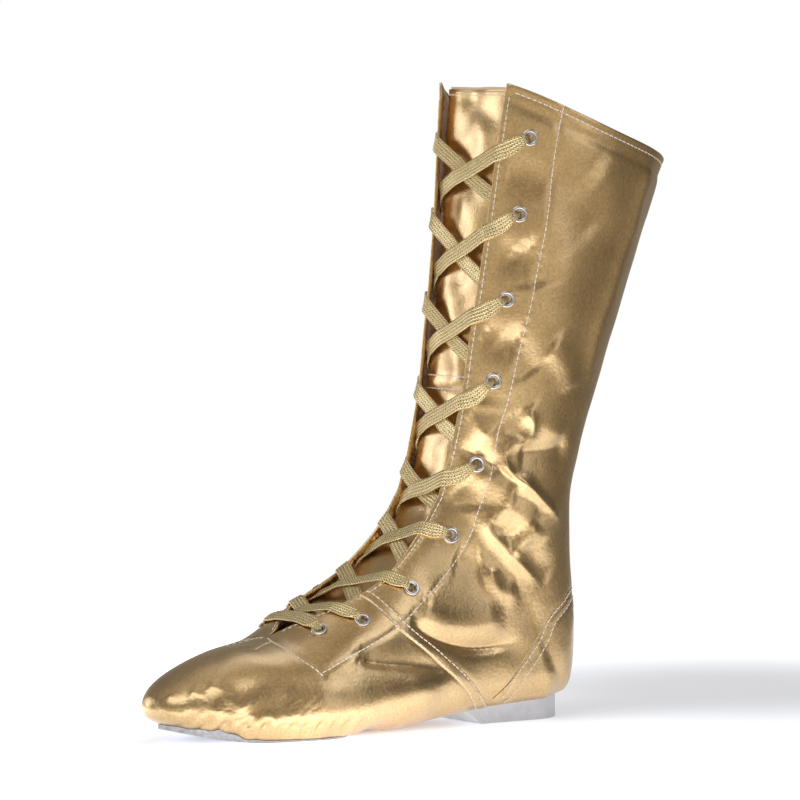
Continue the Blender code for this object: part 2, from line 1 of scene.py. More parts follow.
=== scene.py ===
"""Looks of the folk dance boot: a creased gold skin with its seams, lace, eyelets, tongue and split sole.

Sizes are in millimetres from the heel on the floor: along to the toe, aside to the outer side, and up.
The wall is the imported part's own lofted surface, on a finer mesh, with the creases raised on it.
"""

import math
from collections import namedtuple

import bpy
import numpy as np
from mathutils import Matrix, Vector, noise
from mathutils.bvhtree import BVHTree


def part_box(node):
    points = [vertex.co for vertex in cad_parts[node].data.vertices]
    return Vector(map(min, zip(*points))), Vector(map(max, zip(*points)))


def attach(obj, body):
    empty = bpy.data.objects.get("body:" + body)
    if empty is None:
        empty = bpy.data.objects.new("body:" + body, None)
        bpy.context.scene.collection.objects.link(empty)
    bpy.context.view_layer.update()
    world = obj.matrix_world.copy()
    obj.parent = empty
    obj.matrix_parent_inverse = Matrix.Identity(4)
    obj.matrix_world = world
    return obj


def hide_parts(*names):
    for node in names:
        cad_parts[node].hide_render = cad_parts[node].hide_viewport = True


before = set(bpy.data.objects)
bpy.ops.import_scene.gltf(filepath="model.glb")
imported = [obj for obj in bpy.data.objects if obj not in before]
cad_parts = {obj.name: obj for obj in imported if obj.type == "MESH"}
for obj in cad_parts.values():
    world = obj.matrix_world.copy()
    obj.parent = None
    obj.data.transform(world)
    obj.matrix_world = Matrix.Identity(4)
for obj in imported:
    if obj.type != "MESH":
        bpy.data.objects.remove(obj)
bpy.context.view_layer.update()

MM = 0.001

# Driving dimensions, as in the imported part
FOOT_LENGTH = 248.0
BALL_WIDTH = 88.0
INSTEP_HEIGHT = 105.0
SHAFT_HEIGHT = 324.0
COLLAR_DIP = 3.5
HEEL_HEIGHT = 9.0
WALL = 1.5

# Mesh of the wall
ROW_STEP = 1.4
COLUMNS = 108
TRIAL_ROWS = 1200
DENSE = 160
SPAN_STEPS = 14
JUST_INSIDE = 1.001

# Edges of the wall, rolled over at the lacing and the collar: the roll shrinks where the lacing gap closes
EDGE_RADIUS = 0.8
EDGE_ROLL = 5
EDGE_FLAP = 6.0
FULL_ROLL_GAP = 3.0
LEAST_ROLL = 0.02
LEAST_BEAD = 0.1
COLLAR_CORNER = 2

# Cloth inside the wall: its depth, its distance from the lacing edges, and its rows short of the collar
LINING_STEP = 3
LINING_LIFT = -1.9
LINING_INSET = 4.0
LINING_TOP = 3

# Soft waves all over the wall: height and length. They fade out towards the lacing edges and the floor.
WAVES = ((1.2, 52.0), (0.45, 24.0), (0.15, 11.0))
WAVE_EDGE = 14.0
WAVE_FLOOR = 11.0
WAVE_RISE = 14.0

# Vamp seams: the strip's profile is in shares of its width and lift
SEAM_WIDTH = 6.0
SEAM_LIFT = 0.55
SEAM_ROWS = (-2.1, 2.1)
SEAM_PROFILE = (
    (-0.5, -0.5), (-0.47, 0.35), (-0.38, 0.9), (-0.2, 1.0), (0.0, 0.72), (0.2, 1.0), (0.38, 0.9),
    (0.47, 0.35), (0.5, -0.5),
)

# Counter, cast outward from an upright axis in the heel
COUNTER_LIFT = 0.35
COUNTER_TUCK = 0.5
COUNTER_FORWARD = 9.3
COUNTER_TOP = 61.5
COUNTER_AXIS = 36.0
COUNTER_HEIGHTS = 56
COUNTER_SPOKES = 110
COUNTER_BACK = 0.02
COUNTER_ROWS = (-1.6, -6.0)
COUNTER_STITCH_TOP = (7.0, 60.0)

# Thread: a stitch has stops in shares of its length, and heights there in shares of the thread's radius
STITCH_PITCH = 3.0
STITCH_LENGTH = 2.5
STITCH_RADIUS = 0.28
STITCH_SIDES = 6
STITCH_STOPS = (0.0, 0.14, 0.5, 0.86, 1.0)
STITCH_HEIGHTS = (-1.4, 0.2, 0.75, 0.2, -1.4)
EDGE_STITCH = 1.7
EDGE_STITCH_ROWS = slice(4, -1, 4)
COLLAR_STITCH = 2.8
COLLAR_INSET = 3.0
HEM_WIDTH = 8.5

# Eyelets, counted down from the collar: a round rim, a round mouth and a barrel
EYELET_PLACES = (22.0, 60.0, 102.0, 142.0, 182.0, 217.0, 250.0, 284.0, 309.0)
EYELET_INSET = 15.5
EYELET_HOLE = 2.5
EYELET_FLANGE = 4.2
EYELET_SIDES = 36
RIM_ROUND = 0.55
RIM_HEIGHT = 0.62
RIM_TURN = (-1.2, 1.57)
MOUTH_ROUND = 0.75
MOUTH_HEIGHT = 0.49
MOUTH_TURN = (1.57, 3.14)
TURN_STEPS = 7
BARREL_DEPTH = -2.2
BARREL_WALL = 0.5
BARREL_TOP = 0.05

# Lace: a ribbed ribbon, smoothed along its path, and slack between the eyelets
LACE_WIDTH = 8.4
LACE_THICKNESS = 1.3
LACE_SQUARE = 6
LACE_STEP = 1.0
LACE_RIBS = 5
RIB_STEPS = 4
RIB_HEIGHT = 0.16
RIB_SINK = 0.1
PATH_PASSES = 8
WIDTH_PASSES = 3
TURN_PASSES = 4
FIRST_TURN_LEAST = 0.2
TURN_LEAST = 0.5
EDGE_TURN = 6.0
LACE_SLACK = 0.12
LACE_OUTSIDE = 0.2

# Lace between the edges: places from beyond the edge it passes under (-1) to beyond the edge it lies on (1),
# and heights at the first two, at the crossing, and at the last two
LACE_STOPS = (-1.25, -0.84, -0.3, 0.3, 0.95, 1.3)
LACE_UNDER = (-3.1, -2.9)
LACE_CROSSING = 0.72
LACE_OVER = (1.15, 1.0)
LACE_BAR_LIFT = 1.3

# Lace at a hole: how it rises out of it, humps over the rim, ends under the next one, and is pinched
HOLE_REACH = 2.4
HOLE_DEPTH = -3.0
HOLE_RISE = 5.2
HUMP_AT = 3.2
STRAND_HUMP = 1.5
BAR_HUMP = 1.3
UNDER_END = 2.0
UNDER_DEPTH = -3.2
PINCH = 0.5
PINCH_START = 1.0
PINCH_REACH = 8.0
PINCH_THICKEN = 0.6
END_DEPTHS = (-6.0, -5.0, -4.0)

# Tongue
TONGUE_THICKNESS = 1.6
TONGUE_DROP = 5.6
TONGUE_CROWN = 1.5
TONGUE_UNDER_VAMP = 0.6
TONGUE_LEAST_GAP = 1.0
TONGUE_TUCK = 15.0
TONGUE_ROOT_ROWS = 0.75
TONGUE_ROOT_STEPS = 12
TONGUE_BELOW_COLLAR = 2.0
TONGUE_ROWS = 200
TONGUE_COLUMNS = 44
TONGUE_WAVES = ((3.2, 30.0), (1.2, 14.0))
TONGUE_BAND = (147.5, 154.0)
TONGUE_BAND_LIFT = 0.7
TONGUE_BAND_SQUARE = 6
TONGUE_STITCH_REACH = 0.9
TONGUE_STITCH_POINTS = 60

# Cloth on the back of the tongue. Its turned top edge has a height above the leather and a depth behind
# the leather's face.
TONGUE_CLOTH = 0.4
TONGUE_CLOTH_STEP = 3
TONGUE_CLOTH_TURN = ((0.6, 2.0), (1.2, 1.9), (1.4, 1.4), (0.0, 1.2))

# Split sole, heel and insole
SEAT_GAP = 0.4
SOLE_REAR = 0.58 * FOOT_LENGTH
SOLE_FRONT = 0.968 * FOOT_LENGTH
SOLE_SHARE = 0.75
SOLE_THICKNESS = 1.5
SOLE_REAR_ROUND = 26.0
SOLE_FRONT_ROUND = 18.0
SOLE_BEVEL = 0.35
SPRING_START = 0.80 * FOOT_LENGTH
SPRING_LIFT = 9.0
HEEL_BACK = 9.5
HEEL_LENGTH = 57.5
HEEL_WIDTH = 47.0
HEEL_FRONT_LEAN = 9.0
HEEL_MIDDLE = 0.5
HEEL_TOP = 15.5
HEEL_BEVEL = 0.5
INSOLE_THICKNESS = 2.0
INSOLE_DISH = 2.5
INSOLE_STEP = 0.5
INSOLE_ENDS = (24.0, 20.0)
ABOVE_INSOLE = 18.0
BLUNT_END = 0.02
PLATE_STATIONS = 64
PLATE_COLUMNS = 24
BEVEL_SEGMENTS = 3
BEVEL_ANGLE = math.radians(45)

# A section of the wall: its point under the sole or at the back, its point on top or in front, its half
# width, the sideways shift of both points in millimetres, the share of the way up at which it is widest,
# how square it is below and above that, and half the lacing gap in millimetres
Section = namedtuple(
    "Section", "back_along back_up front_along front_up half back_side front_side widest low_full up_full gap"
)

# Sections of the foot, toe to heel. The along columns are shares of the foot length, back_up of the heel
# height, front_up of the instep height, and half of half the ball width.
FOOT_ROWS = {
    "toe_tip": (0.997, 1.62, 0.997, 0.180, 0.09, -3.0, -4.0, 0.50, 2.0, 2.0, 0.0),
    "toe_round": (0.988, 1.26, 0.985, 0.226, 0.25, -3.0, -4.0, 0.46, 2.4, 2.2, 0.0),
    "toe_front": (0.958, 0.84, 0.950, 0.284, 0.46, -2.5, -4.5, 0.42, 2.8, 2.2, 0.0),
    "toe_box": (0.904, 0.46, 0.888, 0.351, 0.69, -1.0, -5.0, 0.40, 3.4, 2.2, 0.0),
    "toes": (0.828, 0.28, 0.808, 0.412, 0.87, 1.5, -4.5, 0.38, 4.2, 2.4, 0.0),
    "throat": (0.744, 0.25, 0.712, 0.458, 0.97, 3.5, -4.5, 0.36, 4.5, 2.4, 0.0),
    "ball": (0.668, 0.25, 0.628, 0.580, 1.00, 4.5, -5.0, 0.33, 4.5, 2.1, 14.0),
    "fore_waist": (0.584, 0.33, 0.556, 0.690, 0.96, 5.5, -5.5, 0.33, 3.8, 2.0, 20.0),
    "waist": (0.488, 0.51, 0.492, 0.795, 0.88, 5.5, -6.0, 0.33, 3.2, 2.0, 21.0),
    "rear_waist": (0.392, 0.76, 0.448, 0.905, 0.80, 4.0, -6.5, 0.34, 3.0, 2.0, 20.0),
    "heel_front": (0.280, 0.96, 0.417, 1.010, 0.75, 1.5, -6.5, 0.35, 3.0, 2.0, 19.0),
    "heel_seat": (0.168, 1.00, 0.399, 1.105, 0.74, 0.5, -6.0, 0.36, 3.0, 2.0, 18.5),
    "heel_corner": (0.078, 1.03, 0.388, 1.180, 0.75, 0.0, -5.0, 0.38, 3.0, 2.0, 18.5),
}

# Sections of the shaft, heel to collar. Both up columns are shares of the shaft height.
SHAFT_ROWS = {
    "heel_turn": (0.032, 0.035, 0.383, 0.395, 0.75, 0.0, -4.5, 0.39, 2.7, 2.0, 18.5),
    "heel_low": (0.012, 0.058, 0.377, 0.409, 0.76, 0.0, -4.0, 0.40, 2.4, 2.0, 18.5),
    "heel_bulge": (0.000, 0.111, 0.366, 0.431, 0.77, 0.0, -3.0, 0.42, 2.2, 2.0, 18.7),
    "heel_top": (0.004, 0.186, 0.355, 0.459, 0.78, 0.0, -2.0, 0.44, 2.1, 2.0, 19.0),
    "achilles": (0.010, 0.272, 0.341, 0.494, 0.79, 0.0, -1.5, 0.46, 2.1, 2.0, 19.3),
    "ankle": (0.008, 0.346, 0.327, 0.538, 0.81, 0.0, -1.0, 0.48, 2.1, 2.0, 19.7),
    "low_shaft": (-0.018, 0.437, 0.314, 0.612, 0.86, 0.0, -0.5, 0.49, 2.1, 2.0, 20.5),
    "mid_shaft": (-0.064, 0.536, 0.302, 0.698, 0.92, 0.0, 1.0, 0.50, 2.1, 2.0, 22.0),
    "calf_low": (-0.115, 0.646, 0.290, 0.799, 0.99, 0.0, 1.5, 0.50, 2.1, 2.0, 24.0),
    "calf": (-0.168, 0.760, 0.279, 0.902, 1.07, 0.0, 1.0, 0.50, 2.1, 2.0, 26.5),
    "collar": (-0.214, 0.857, 0.268, 1.003, 1.14, 0.0, 0.0, 0.50, 2.1, 2.0, 29.5),
}

# Seam lines in side view, along and up
VAMP_SEAM = ((134.0, 69.0), (122.0, 54.0), (101.0, 37.0), (84.0, 23.0), (74.5, 15.5), (67.0, 11.8))
COUNTER_EDGE = ((54.0, 13.0), (43.0, 24.0), (27.0, 44.0), (14.0, 56.0), (-12.0, 67.0))
EYESTAY_LINE = (
    (32, 309), (36, 287), (41, 243), (54, 174), (61, 146), (63, 130), (67, 115), (72, 99), (83, 82),
    (120, 55), (150, 43), (173.5, 33.5),
)

# Stitching round the throat, by section number and share of the half section
THROAT_LINE = ((5.30, 0.585), (5.05, 0.64), (4.90, 0.70), (4.80, 0.79), (4.83, 0.90), (4.93, 0.985))
THROAT_BAR = ((4.90, 0.93), (4.60, 0.91), (4.30, 0.87))

# Creases of the wall in side view: height of the ridge, or depth of the trough where it is below nought,
# its width on the left and right of the line, how soft it is (1 a sharp crest, 2 round), and the line
Fold = namedtuple("Fold", "height left right soft line")

# A fold is worked out to so many of its widths, and fades over this share of its line at each end
FOLD_REACH = 3.2
FOLD_TAPER = 0.18

# Creases of the outer side, which the photo shows, and of the inner side
OUTER_FOLDS = {
    "ankle_s": Fold(2.5, 2.8, 3.0, 1.4, (
        (52, 160), (46, 155), (44, 148), (47, 142), (54, 140), (58, 134), (56, 127), (47, 120), (37, 111),
        (18, 97),
    )),
    "ankle_step": Fold(2.2, 4.0, 13.0, 1.5, ((59, 134), (55, 126), (46, 119), (36, 110), (20, 98))),
    "ankle_crest": Fold(1.4, 7.0, 6.0, 1.8, ((48, 159), (42, 154), (34, 149), (24, 142))),
    "ankle_dip": Fold(-2.4, 5.0, 7.0, 1.7, ((52, 137), (38, 136), (18, 139))),
    "ankle_pit": Fold(-0.9, 8.0, 7.0, 2.0, ((57, 155), (52, 149), (52, 144))),
    "front_crescent": Fold(2.0, 8.0, 4.2, 1.6, ((69, 166), (71, 156), (69, 149), (63, 141))),
    "front_dip": Fold(-2.8, 4.5, 4.0, 1.4, ((79, 139), (70, 135), (63, 130), (57, 125), (48, 118))),
    "eyelet_dent": Fold(-1.4, 8.0, 8.0, 2.0, ((78, 122), (73, 115), (72, 107))),
    "heel_dome": Fold(1.6, 9.0, 7.0, 2.0, ((60, 111), (50, 107), (42, 101))),
    "heel_fork": Fold(1.8, 2.8, 3.2, 1.4, (
        (57, 110), (63, 104), (65, 100), (63, 95), (58, 90), (53, 84), (45, 77), (32, 65),
    )),
    "heel_branch": Fold(1.9, 4.0, 4.0, 1.5, ((39, 101), (45, 94), (49, 89), (53, 84))),
    "heel_hollow": Fold(-1.5, 5.5, 5.5, 2.0, ((56, 97), (53, 92), (51, 91))),
    "heel_side_dip": Fold(-1.5, 8.0, 8.0, 2.0, ((43, 92), (40, 82), (28, 72))),
    "heel_arch": Fold(-1.2, 5.0, 5.5, 1.8, ((55, 115), (44, 112), (32, 103))),
    "heel_hook": Fold(1.9, 4.5, 5.0, 1.6, ((65, 80), (64, 72), (59, 66.5), (48, 66))),
    "hook_dent": Fold(-1.5, 8.0, 8.0, 2.0, ((84, 84), (74, 80), (68, 80))),
    "quarter_trough": Fold(-4.2, 5.0, 3.0, 1.3, ((116, 57), (105, 48), (90, 42), (72, 39), (46, 40))),
    "quarter_swell": Fold(2.4, 10.0, 9.0, 2.0, ((112, 62), (95, 55), (76, 52), (56, 54))),
    "vamp_trough": Fold(-2.6, 6.5, 4.0, 1.5, ((156, 41), (132, 36), (116, 33.5), (90, 28))),
    "vamp_side": Fold(2.2, 9.0, 12.0, 2.0, ((196, 17), (165, 20), (130, 21), (95, 17))),
    "toe_groove": Fold(-1.1, 8.0, 7.0, 1.8, ((226, 22), (216, 14), (205, 18), (186, 25))),
    "toe_ridge_1": Fold(1.1, 3.5, 4.5, 1.6, ((235, 26), (225, 13))),
    "toe_ridge_2": Fold(1.3, 4.0, 5.0, 1.6, ((227, 29), (214, 15))),
    "toe_end": Fold(0.7, 4.0, 4.0, 1.8, ((242, 24), (244, 14))),
    "shaft_press": Fold(3.2, 11.0, 6.0, 1.4, (
        (-30, 290), (-18, 266), (-11, 242), (-1, 214), (8, 190), (9, 160),
    )),
    "shaft_dent_1": Fold(-0.9, 11.0, 12.0, 2.0, ((40, 280), (26, 262), (10, 246))),
    "shaft_dent_2": Fold(-1.4, 9.0, 10.0, 2.0, ((54, 240), (46, 228), (44, 218))),
    "shaft_dent_3": Fold(-1.5, 8.0, 9.0, 2.0, ((60, 196), (50, 184), (44, 174))),
    "shaft_swell": Fold(1.6, 15.0, 13.0, 2.0, ((20, 276), (0, 258), (-6, 238))),
    "low_swell": Fold(2.0, 8.0, 7.0, 1.8, ((38, 190), (28, 181), (20, 165))),
}
INNER_FOLDS = {
    "ankle_s": Fold(2.2, 5.0, 5.0, 1.3, (
        (56, 150), (47, 146), (43, 139), (50, 130), (46, 121), (34, 112), (18, 104),
    )),
    "ankle_dip": Fold(-1.6, 5.0, 6.0, 1.7, ((60, 138), (46, 134), (26, 131))),
    "front_dip": Fold(-1.6, 5.0, 5.0, 1.6, ((76, 128), (64, 122), (52, 110))),
    "heel_fork": Fold(2.0, 5.0, 5.0, 1.4, ((66, 106), (60, 96), (50, 88), (38, 74))),
    "heel_branch": Fold(1.6, 4.5, 4.5, 1.4, ((38, 96), (45, 91), (50, 88))),
    "quarter_trough": Fold(-2.4, 6.0, 7.0, 1.4, ((118, 52), (104, 45), (84, 40), (58, 43))),
    "vamp_trough": Fold(-1.7, 6.0, 7.0, 1.5, ((160, 40), (136, 34), (110, 30))),
    "toe_ridge": Fold(1.2, 4.0, 5.0, 1.6, ((228, 27), (216, 16))),
    "shaft_press": Fold(2.2, 8.0, 8.0, 1.4, ((-30, 282), (-16, 250), (0, 210), (8, 170))),
    "shaft_dent_1": Fold(-1.3, 9.0, 9.0, 2.0, ((38, 260), (22, 246), (8, 240))),
    "shaft_dent_2": Fold(-1.2, 8.0, 8.0, 2.0, ((54, 206), (40, 194))),
}

# Gathers where the leather is drawn in under the sole: how far along each pleat stands, and its depth. A
# pleat runs back and up from its foot, which follows the line of feet, along and up.
PLEATS = {
    238.0: 0.7, 231.0: 0.9, 224.0: 1.2, 215.0: 1.0, 206.5: 1.3, 199.0: 0.8, 193.0: 1.2, 186.5: 1.0,
    179.0: 1.2, 172.0: 0.8, 164.0: 1.0, 155.0: 0.7,
}
PLEAT = Fold(-2.8, 2.3, 2.3, 1.5, ((0.0, 0.0), (1.0, 4.5), (3.4, 11.0)))
PLEAT_TAPER = 0.6
PLEAT_FOOT = ((150.0, 3.4), (205.0, 3.2), (224.0, 4.6), (238.0, 7.0))
GATHER_ROLL = Fold(2.3, 4.5, 5.0, 2.0, ((218, 5.0), (206, 3.7), (185, 3.4), (160, 3.4), (136, 4.4)))

# Sag of the leather over the arch and the heel block, by section number and share of the half section
ARCH_SAG = Fold(4.4, 15.0, 15.0, 2.0, (
    (6.9, 0.20), (7.8, 0.19), (8.9, 0.18), (9.9, 0.18), (10.9, 0.19), (11.7, 0.20), (12.6, 0.22),
))

# Folds along lines that are worked out: the edge of the hem, and the groove under a row of stitches
HEM = Fold(-0.7, 2.0, 4.5, 1.6, ())
GROOVE = Fold(-0.35, 1.3, 1.3, 2.0, ())

# Dents where the lace pulls the eyestay in: distance down the lacing edge, and depth. They reach in from it.
LACING_DENTS = {38.0: 1.2, 78.0: 1.6, 120.0: 1.5, 158.0: 0.8}
DENT = Fold(-1.0, 8.5, 8.5, 2.0, ())
DENT_REACH = (5.0, 27.0)
DENT_LEAN = 0.12

SIDES = {"outer": 1, "inner": -1}
FOOT_SCALE = Section(FOOT_LENGTH, HEEL_HEIGHT, FOOT_LENGTH, INSTEP_HEIGHT, BALL_WIDTH / 2, 1, 1, 1, 1, 1, 1)
SHAFT_SCALE = FOOT_SCALE._replace(back_up=SHAFT_HEIGHT, front_up=SHAFT_HEIGHT)
SECTIONS = np.vstack(
    (np.array(list(FOOT_ROWS.values())) * FOOT_SCALE, np.array(list(SHAFT_ROWS.values())) * SHAFT_SCALE)
)
ROW_OF = {name: row for row, name in enumerate((*FOOT_ROWS, *SHAFT_ROWS))}
LAST_ROW = len(SECTIONS) - 1
MIDDLE = (FOOT_LENGTH + SECTIONS[LAST_ROW][0]) / 2


def unit(vectors):
    return vectors / np.linalg.norm(vectors, axis=-1, keepdims=True)


def eased(value):
    value = np.clip(value, 0.0, 1.0)
    return value * value * (3 - 2 * value)


def travel(path):
    """Distance along a path to each of its points."""
    return np.concatenate(([0.0], np.cumsum(np.linalg.norm(np.diff(path, axis=0), axis=1))))


def points_at(distances, travelled, points):
    """Points between those of a path, at distances along it."""
    return np.column_stack([np.interp(distances, travelled, points[:, k]) for k in range(3)])


# Wall of the boot


def curve_between(before, start, end, after, step):
    """A smooth curve from start to end, with the points beyond them."""
    linear = (end - before) * step
    square = (2 * before - 5 * start + 4 * end - after) * step**2
    cube = (3 * start - before - 3 * end + after) * step**3
    return start + 0.5 * (linear + square + cube)


def smooth_row(place):
    low = min(max(int(math.floor(place)), 0), LAST_ROW - 1)
    rows = (SECTIONS[min(max(low + k, 0), LAST_ROW)] for k in (-1, 0, 1, 2))
    return Section(*curve_between(*rows, place - low))


def half_section(place, side):
    """Half a section, from the sole or back centre to the lacing edge, and its length to each point."""
    row = smooth_row(place)
    top_angle = math.acos((max(row.gap, 0.0) / row.half) ** (row.up_full / 2))
    angle = np.linspace(-math.pi / 2, top_angle, DENSE)
    full = np.where(angle < 0, row.low_full, row.up_full)
    rise = np.sign(angle) * np.abs(np.sin(angle)) ** (2 / full)
    height = row.widest + rise * np.where(angle < 0, row.widest, 1 - row.widest)
    width = row.half * np.abs(np.cos(angle)) ** (2 / full)
    width[0] = 0.0
    dip = COLLAR_DIP * max(place - ROW_OF["calf"], 0.0) * (4 * height * (1 - height)) ** 2
    points = np.column_stack(
        (
            row.back_along + (row.front_along - row.back_along) * height,
            row.back_side + (row.front_side - row.back_side) * height + side * width,
            row.back_up + (row.front_up - row.back_up) * height - dip,
        )
    )
    return points, travel(points)


def row_places():
    """Row numbers of the mesh, evenly spaced where the rows lie furthest apart."""
    trial = np.linspace(0.0, LAST_ROW, TRIAL_ROWS)
    lines = [half_section(place, 1)[0] for place in trial]
    apart = [np.linalg.norm(there - here, axis=1).max() for here, there in zip(lines, lines[1:])]
    travelled = np.concatenate(([0.0], np.cumsum(apart)))
    count = round(travelled[-1] / ROW_STEP)
    return np.interp(np.linspace(0.0, travelled[-1], count + 1), travelled, trial)


def wall_row(place):
    """A row of the wall, from the inner edge round the back to the outer edge, and its half length."""
    shares = np.linspace(0.0, 1.0, COLUMNS + 1)
    halves = []
    for side in (-1, 1):
        points, along = half_section(place, side)
        halves.append(points_at(shares * along[-1], along, points))
    return np.vstack((halves[0][:0:-1], halves[1])), along[-1]


PLACES = row_places()
ROWS = [wall_row(place) for place in PLACES]
WALL_GRID = np.array([points for points, _ in ROWS])
HALF_LENGTH = np.array([length for _, length in ROWS])
GAPS = np.array([max(smooth_row(place).gap, 0.0) for place in PLACES])
CLOSED = PLACES <= ROW_OF["throat"]
ROW_SLOPE = np.gradient(WALL_GRID, axis=0)
COLUMN_SLOPE = np.gradient(WALL_GRID, axis=1)
NORMALS = unit(np.cross(ROW_SLOPE, COLUMN_SLOPE))
RIDGE = unit(NORMALS[CLOSED, 0] + NORMALS[CLOSED, -1])
NORMALS[CLOSED, 0] = RIDGE
NORMALS[CLOSED, -1] = RIDGE
RELIEF = np.zeros(WALL_GRID.shape[:2])


def between(table, spots):
    """Values of a table of the wall at row and column numbers that may lie between its points."""
    spots = np.atleast_2d(spots)
    row = np.clip(spots[:, 0], 0, len(table) - JUST_INSIDE)
    column = np.clip(spots[:, 1], 0, table.shape[1] - JUST_INSIDE)
    low_row, low_column = row.astype(int), column.astype(int)
    shape = (-1,) + (1,) * (table.ndim - 2)
    down, across = (row - low_row).reshape(shape), (column - low_column).reshape(shape)
    near = table[low_row, low_column] * (1 - across) + table[low_row, low_column + 1] * across
    far = table[low_row + 1, low_column] * (1 - across) + table[low_row + 1, low_column + 1] * across
    return near * (1 - down) + far * down


def on_skin(spots, lift=0.0):
    """Points of the creased wall, lifted outward."""
    height = (between(RELIEF, spots) + lift).reshape(-1, 1)
    return between(WALL_GRID, spots) + height * between(NORMALS, spots)


def row_number(place):
    return np.interp(place, PLACES, np.arange(len(PLACES)))


def column_number(share, side):
    return COLUMNS * (1 + side * np.asarray(share))


def smooth_line(marks):
    """Row and column numbers along a smooth line through marks."""
    marks = np.array(marks, float)
    padded = np.vstack((2 * marks[0] - marks[1], marks, 2 * marks[-1] - marks[-2]))
    step = np.linspace(0.0, 1.0, SPAN_STEPS, endpoint=False)[:, None]
    spans = [curve_between(*points, step) for points in zip(padded, padded[1:], padded[2:], padded[3:])]
    return np.vstack((*spans, marks[-1:]))


def side_line(side, points):
    """A smooth line on one side of the wall through points given in side view."""
    first = COLUMNS if side > 0 else 0
    half = WALL_GRID[:, first : first + COLUMNS + 1, ::2]
    marks = []
    for point in points:
        off = ((half - point) ** 2).sum(axis=2)
        row, column = np.unravel_index(np.argmin(off), off.shape)
        here = row, column + first
        slopes = np.column_stack((ROW_SLOPE[here][::2], COLUMN_SLOPE[here][::2]))
        step = np.linalg.lstsq(slopes, point - half[row, column], rcond=None)[0]
        marks.append(here + np.clip(step, -1.0, 1.0))
    return smooth_line(marks)


def wall_line(side, points):
    """A smooth line on one side of the wall through section numbers and shares of the half section."""
    return smooth_line([(row_number(place), column_number(share, side)) for place, share in points])


def moved_aside(line, offset):
    """The line moved sideways on the wall, to its left as seen from outside, by a distance in millimetres."""
    down, across = between(ROW_SLOPE, line), between(COLUMN_SLOPE, line)
    forward = unit(np.gradient(between(WALL_GRID, line), axis=0))
    aside = unit(np.cross(between(NORMALS, line), forward))
    square = (down * down).sum(1), (down * across).sum(1), (across * across).sum(1)
    by_row, by_column = (aside * down).sum(1), (aside * across).sum(1)
    scale = square[0] * square[2] - square[1] ** 2
    row_step = by_row * square[2] - by_column * square[1]
    column_step = by_column * square[0] - by_row * square[1]
    return line + offset * np.column_stack((row_step, column_step)) / scale[:, None]


# Creases


def raise_line(line, fold, taper=FOLD_TAPER):
    """Adds a ridge, or a trough, along a line of the wall."""
    spine = between(WALL_GRID, line)
    forward = unit(np.gradient(spine, axis=0))
    reach = FOLD_REACH * max(fold.left, fold.right)
    near = ((WALL_GRID > spine.min(0) - reach) & (WALL_GRID < spine.max(0) + reach)).all(axis=2)
    spots = WALL_GRID[near]
    apart = np.linalg.norm(spots[:, None] - spine[None], axis=2)
    nearest = apart.argmin(axis=1)
    distance = apart[np.arange(len(spots)), nearest]
    turn = np.cross(forward[nearest], spots - spine[nearest])
    on_left = (turn * NORMALS[near]).sum(axis=1) > 0
    share = nearest / (len(spine) - 1)
    fade = eased(np.minimum(share, 1 - share) / taper) if taper else 1.0
    width = np.where(on_left, fold.left, fold.right)
    RELIEF[near] += fold.height * fade * np.exp(-((distance / width) ** fold.soft))


def collar_line(below):
    """Row and column numbers round the wall at a distance below the collar."""
    columns = np.arange(COLLAR_INSET, 2 * COLUMNS + 1 - COLLAR_INSET)
    rows = len(PLACES) - 1 - below / np.linalg.norm(ROW_SLOPE[-1], axis=1)[columns.astype(int)]
    return np.column_stack((rows, columns))


def raise_waves():
    """Soft waves all over, held flat along the lacing edges and under the foot."""
    edge_distance = (1 - np.abs(np.linspace(-1, 1, 2 * COLUMNS + 1)))[None] * HALF_LENGTH[:, None]
    held = np.where(CLOSED[:, None], 1.0, eased(edge_distance / WAVE_EDGE))
    held = held * eased((WALL_GRID[..., 2] - WAVE_FLOOR) / WAVE_RISE)
    for height, length in WAVES:
        waves = [noise.noise(Vector(spot / length)) for spot in WALL_GRID.reshape(-1, 3)]
        RELIEF[:] += height * held * np.reshape(waves, RELIEF.shape)


def raise_creases():
    raise_waves()
    for side, folds in ((1, OUTER_FOLDS), (-1, INNER_FOLDS)):
        for fold in (*folds.values(), GATHER_ROLL):
            raise_line(side_line(side, fold.line), fold)
        for along, depth in PLEATS.items():
            foot = np.interp(along, *np.transpose(PLEAT_FOOT))
            line = side_line(side, [(along - back, up + foot) for back, up in PLEAT.line])
            raise_line(line, PLEAT._replace(height=PLEAT.height * depth), PLEAT_TAPER)
        raise_line(wall_line(side, ARCH_SAG.line), ARCH_SAG)
        for down, depth in LACING_DENTS.items():
            place = front_places([down])[0]
            near, far = (1 - reach / np.interp(place, PLACES, HALF_LENGTH) for reach in DENT_REACH)
            line = wall_line(side, [(place - DENT_LEAN, near), (place, far)])
            raise_line(line, DENT._replace(height=DENT.height * depth))
    raise_line(collar_line(HEM_WIDTH), HEM, taper=0.0)
    ridge = (RELIEF[CLOSED, 0] + RELIEF[CLOSED, -1]) / 2
    RELIEF[CLOSED, 0] = ridge
    RELIEF[CLOSED, -1] = ridge


# Pieces


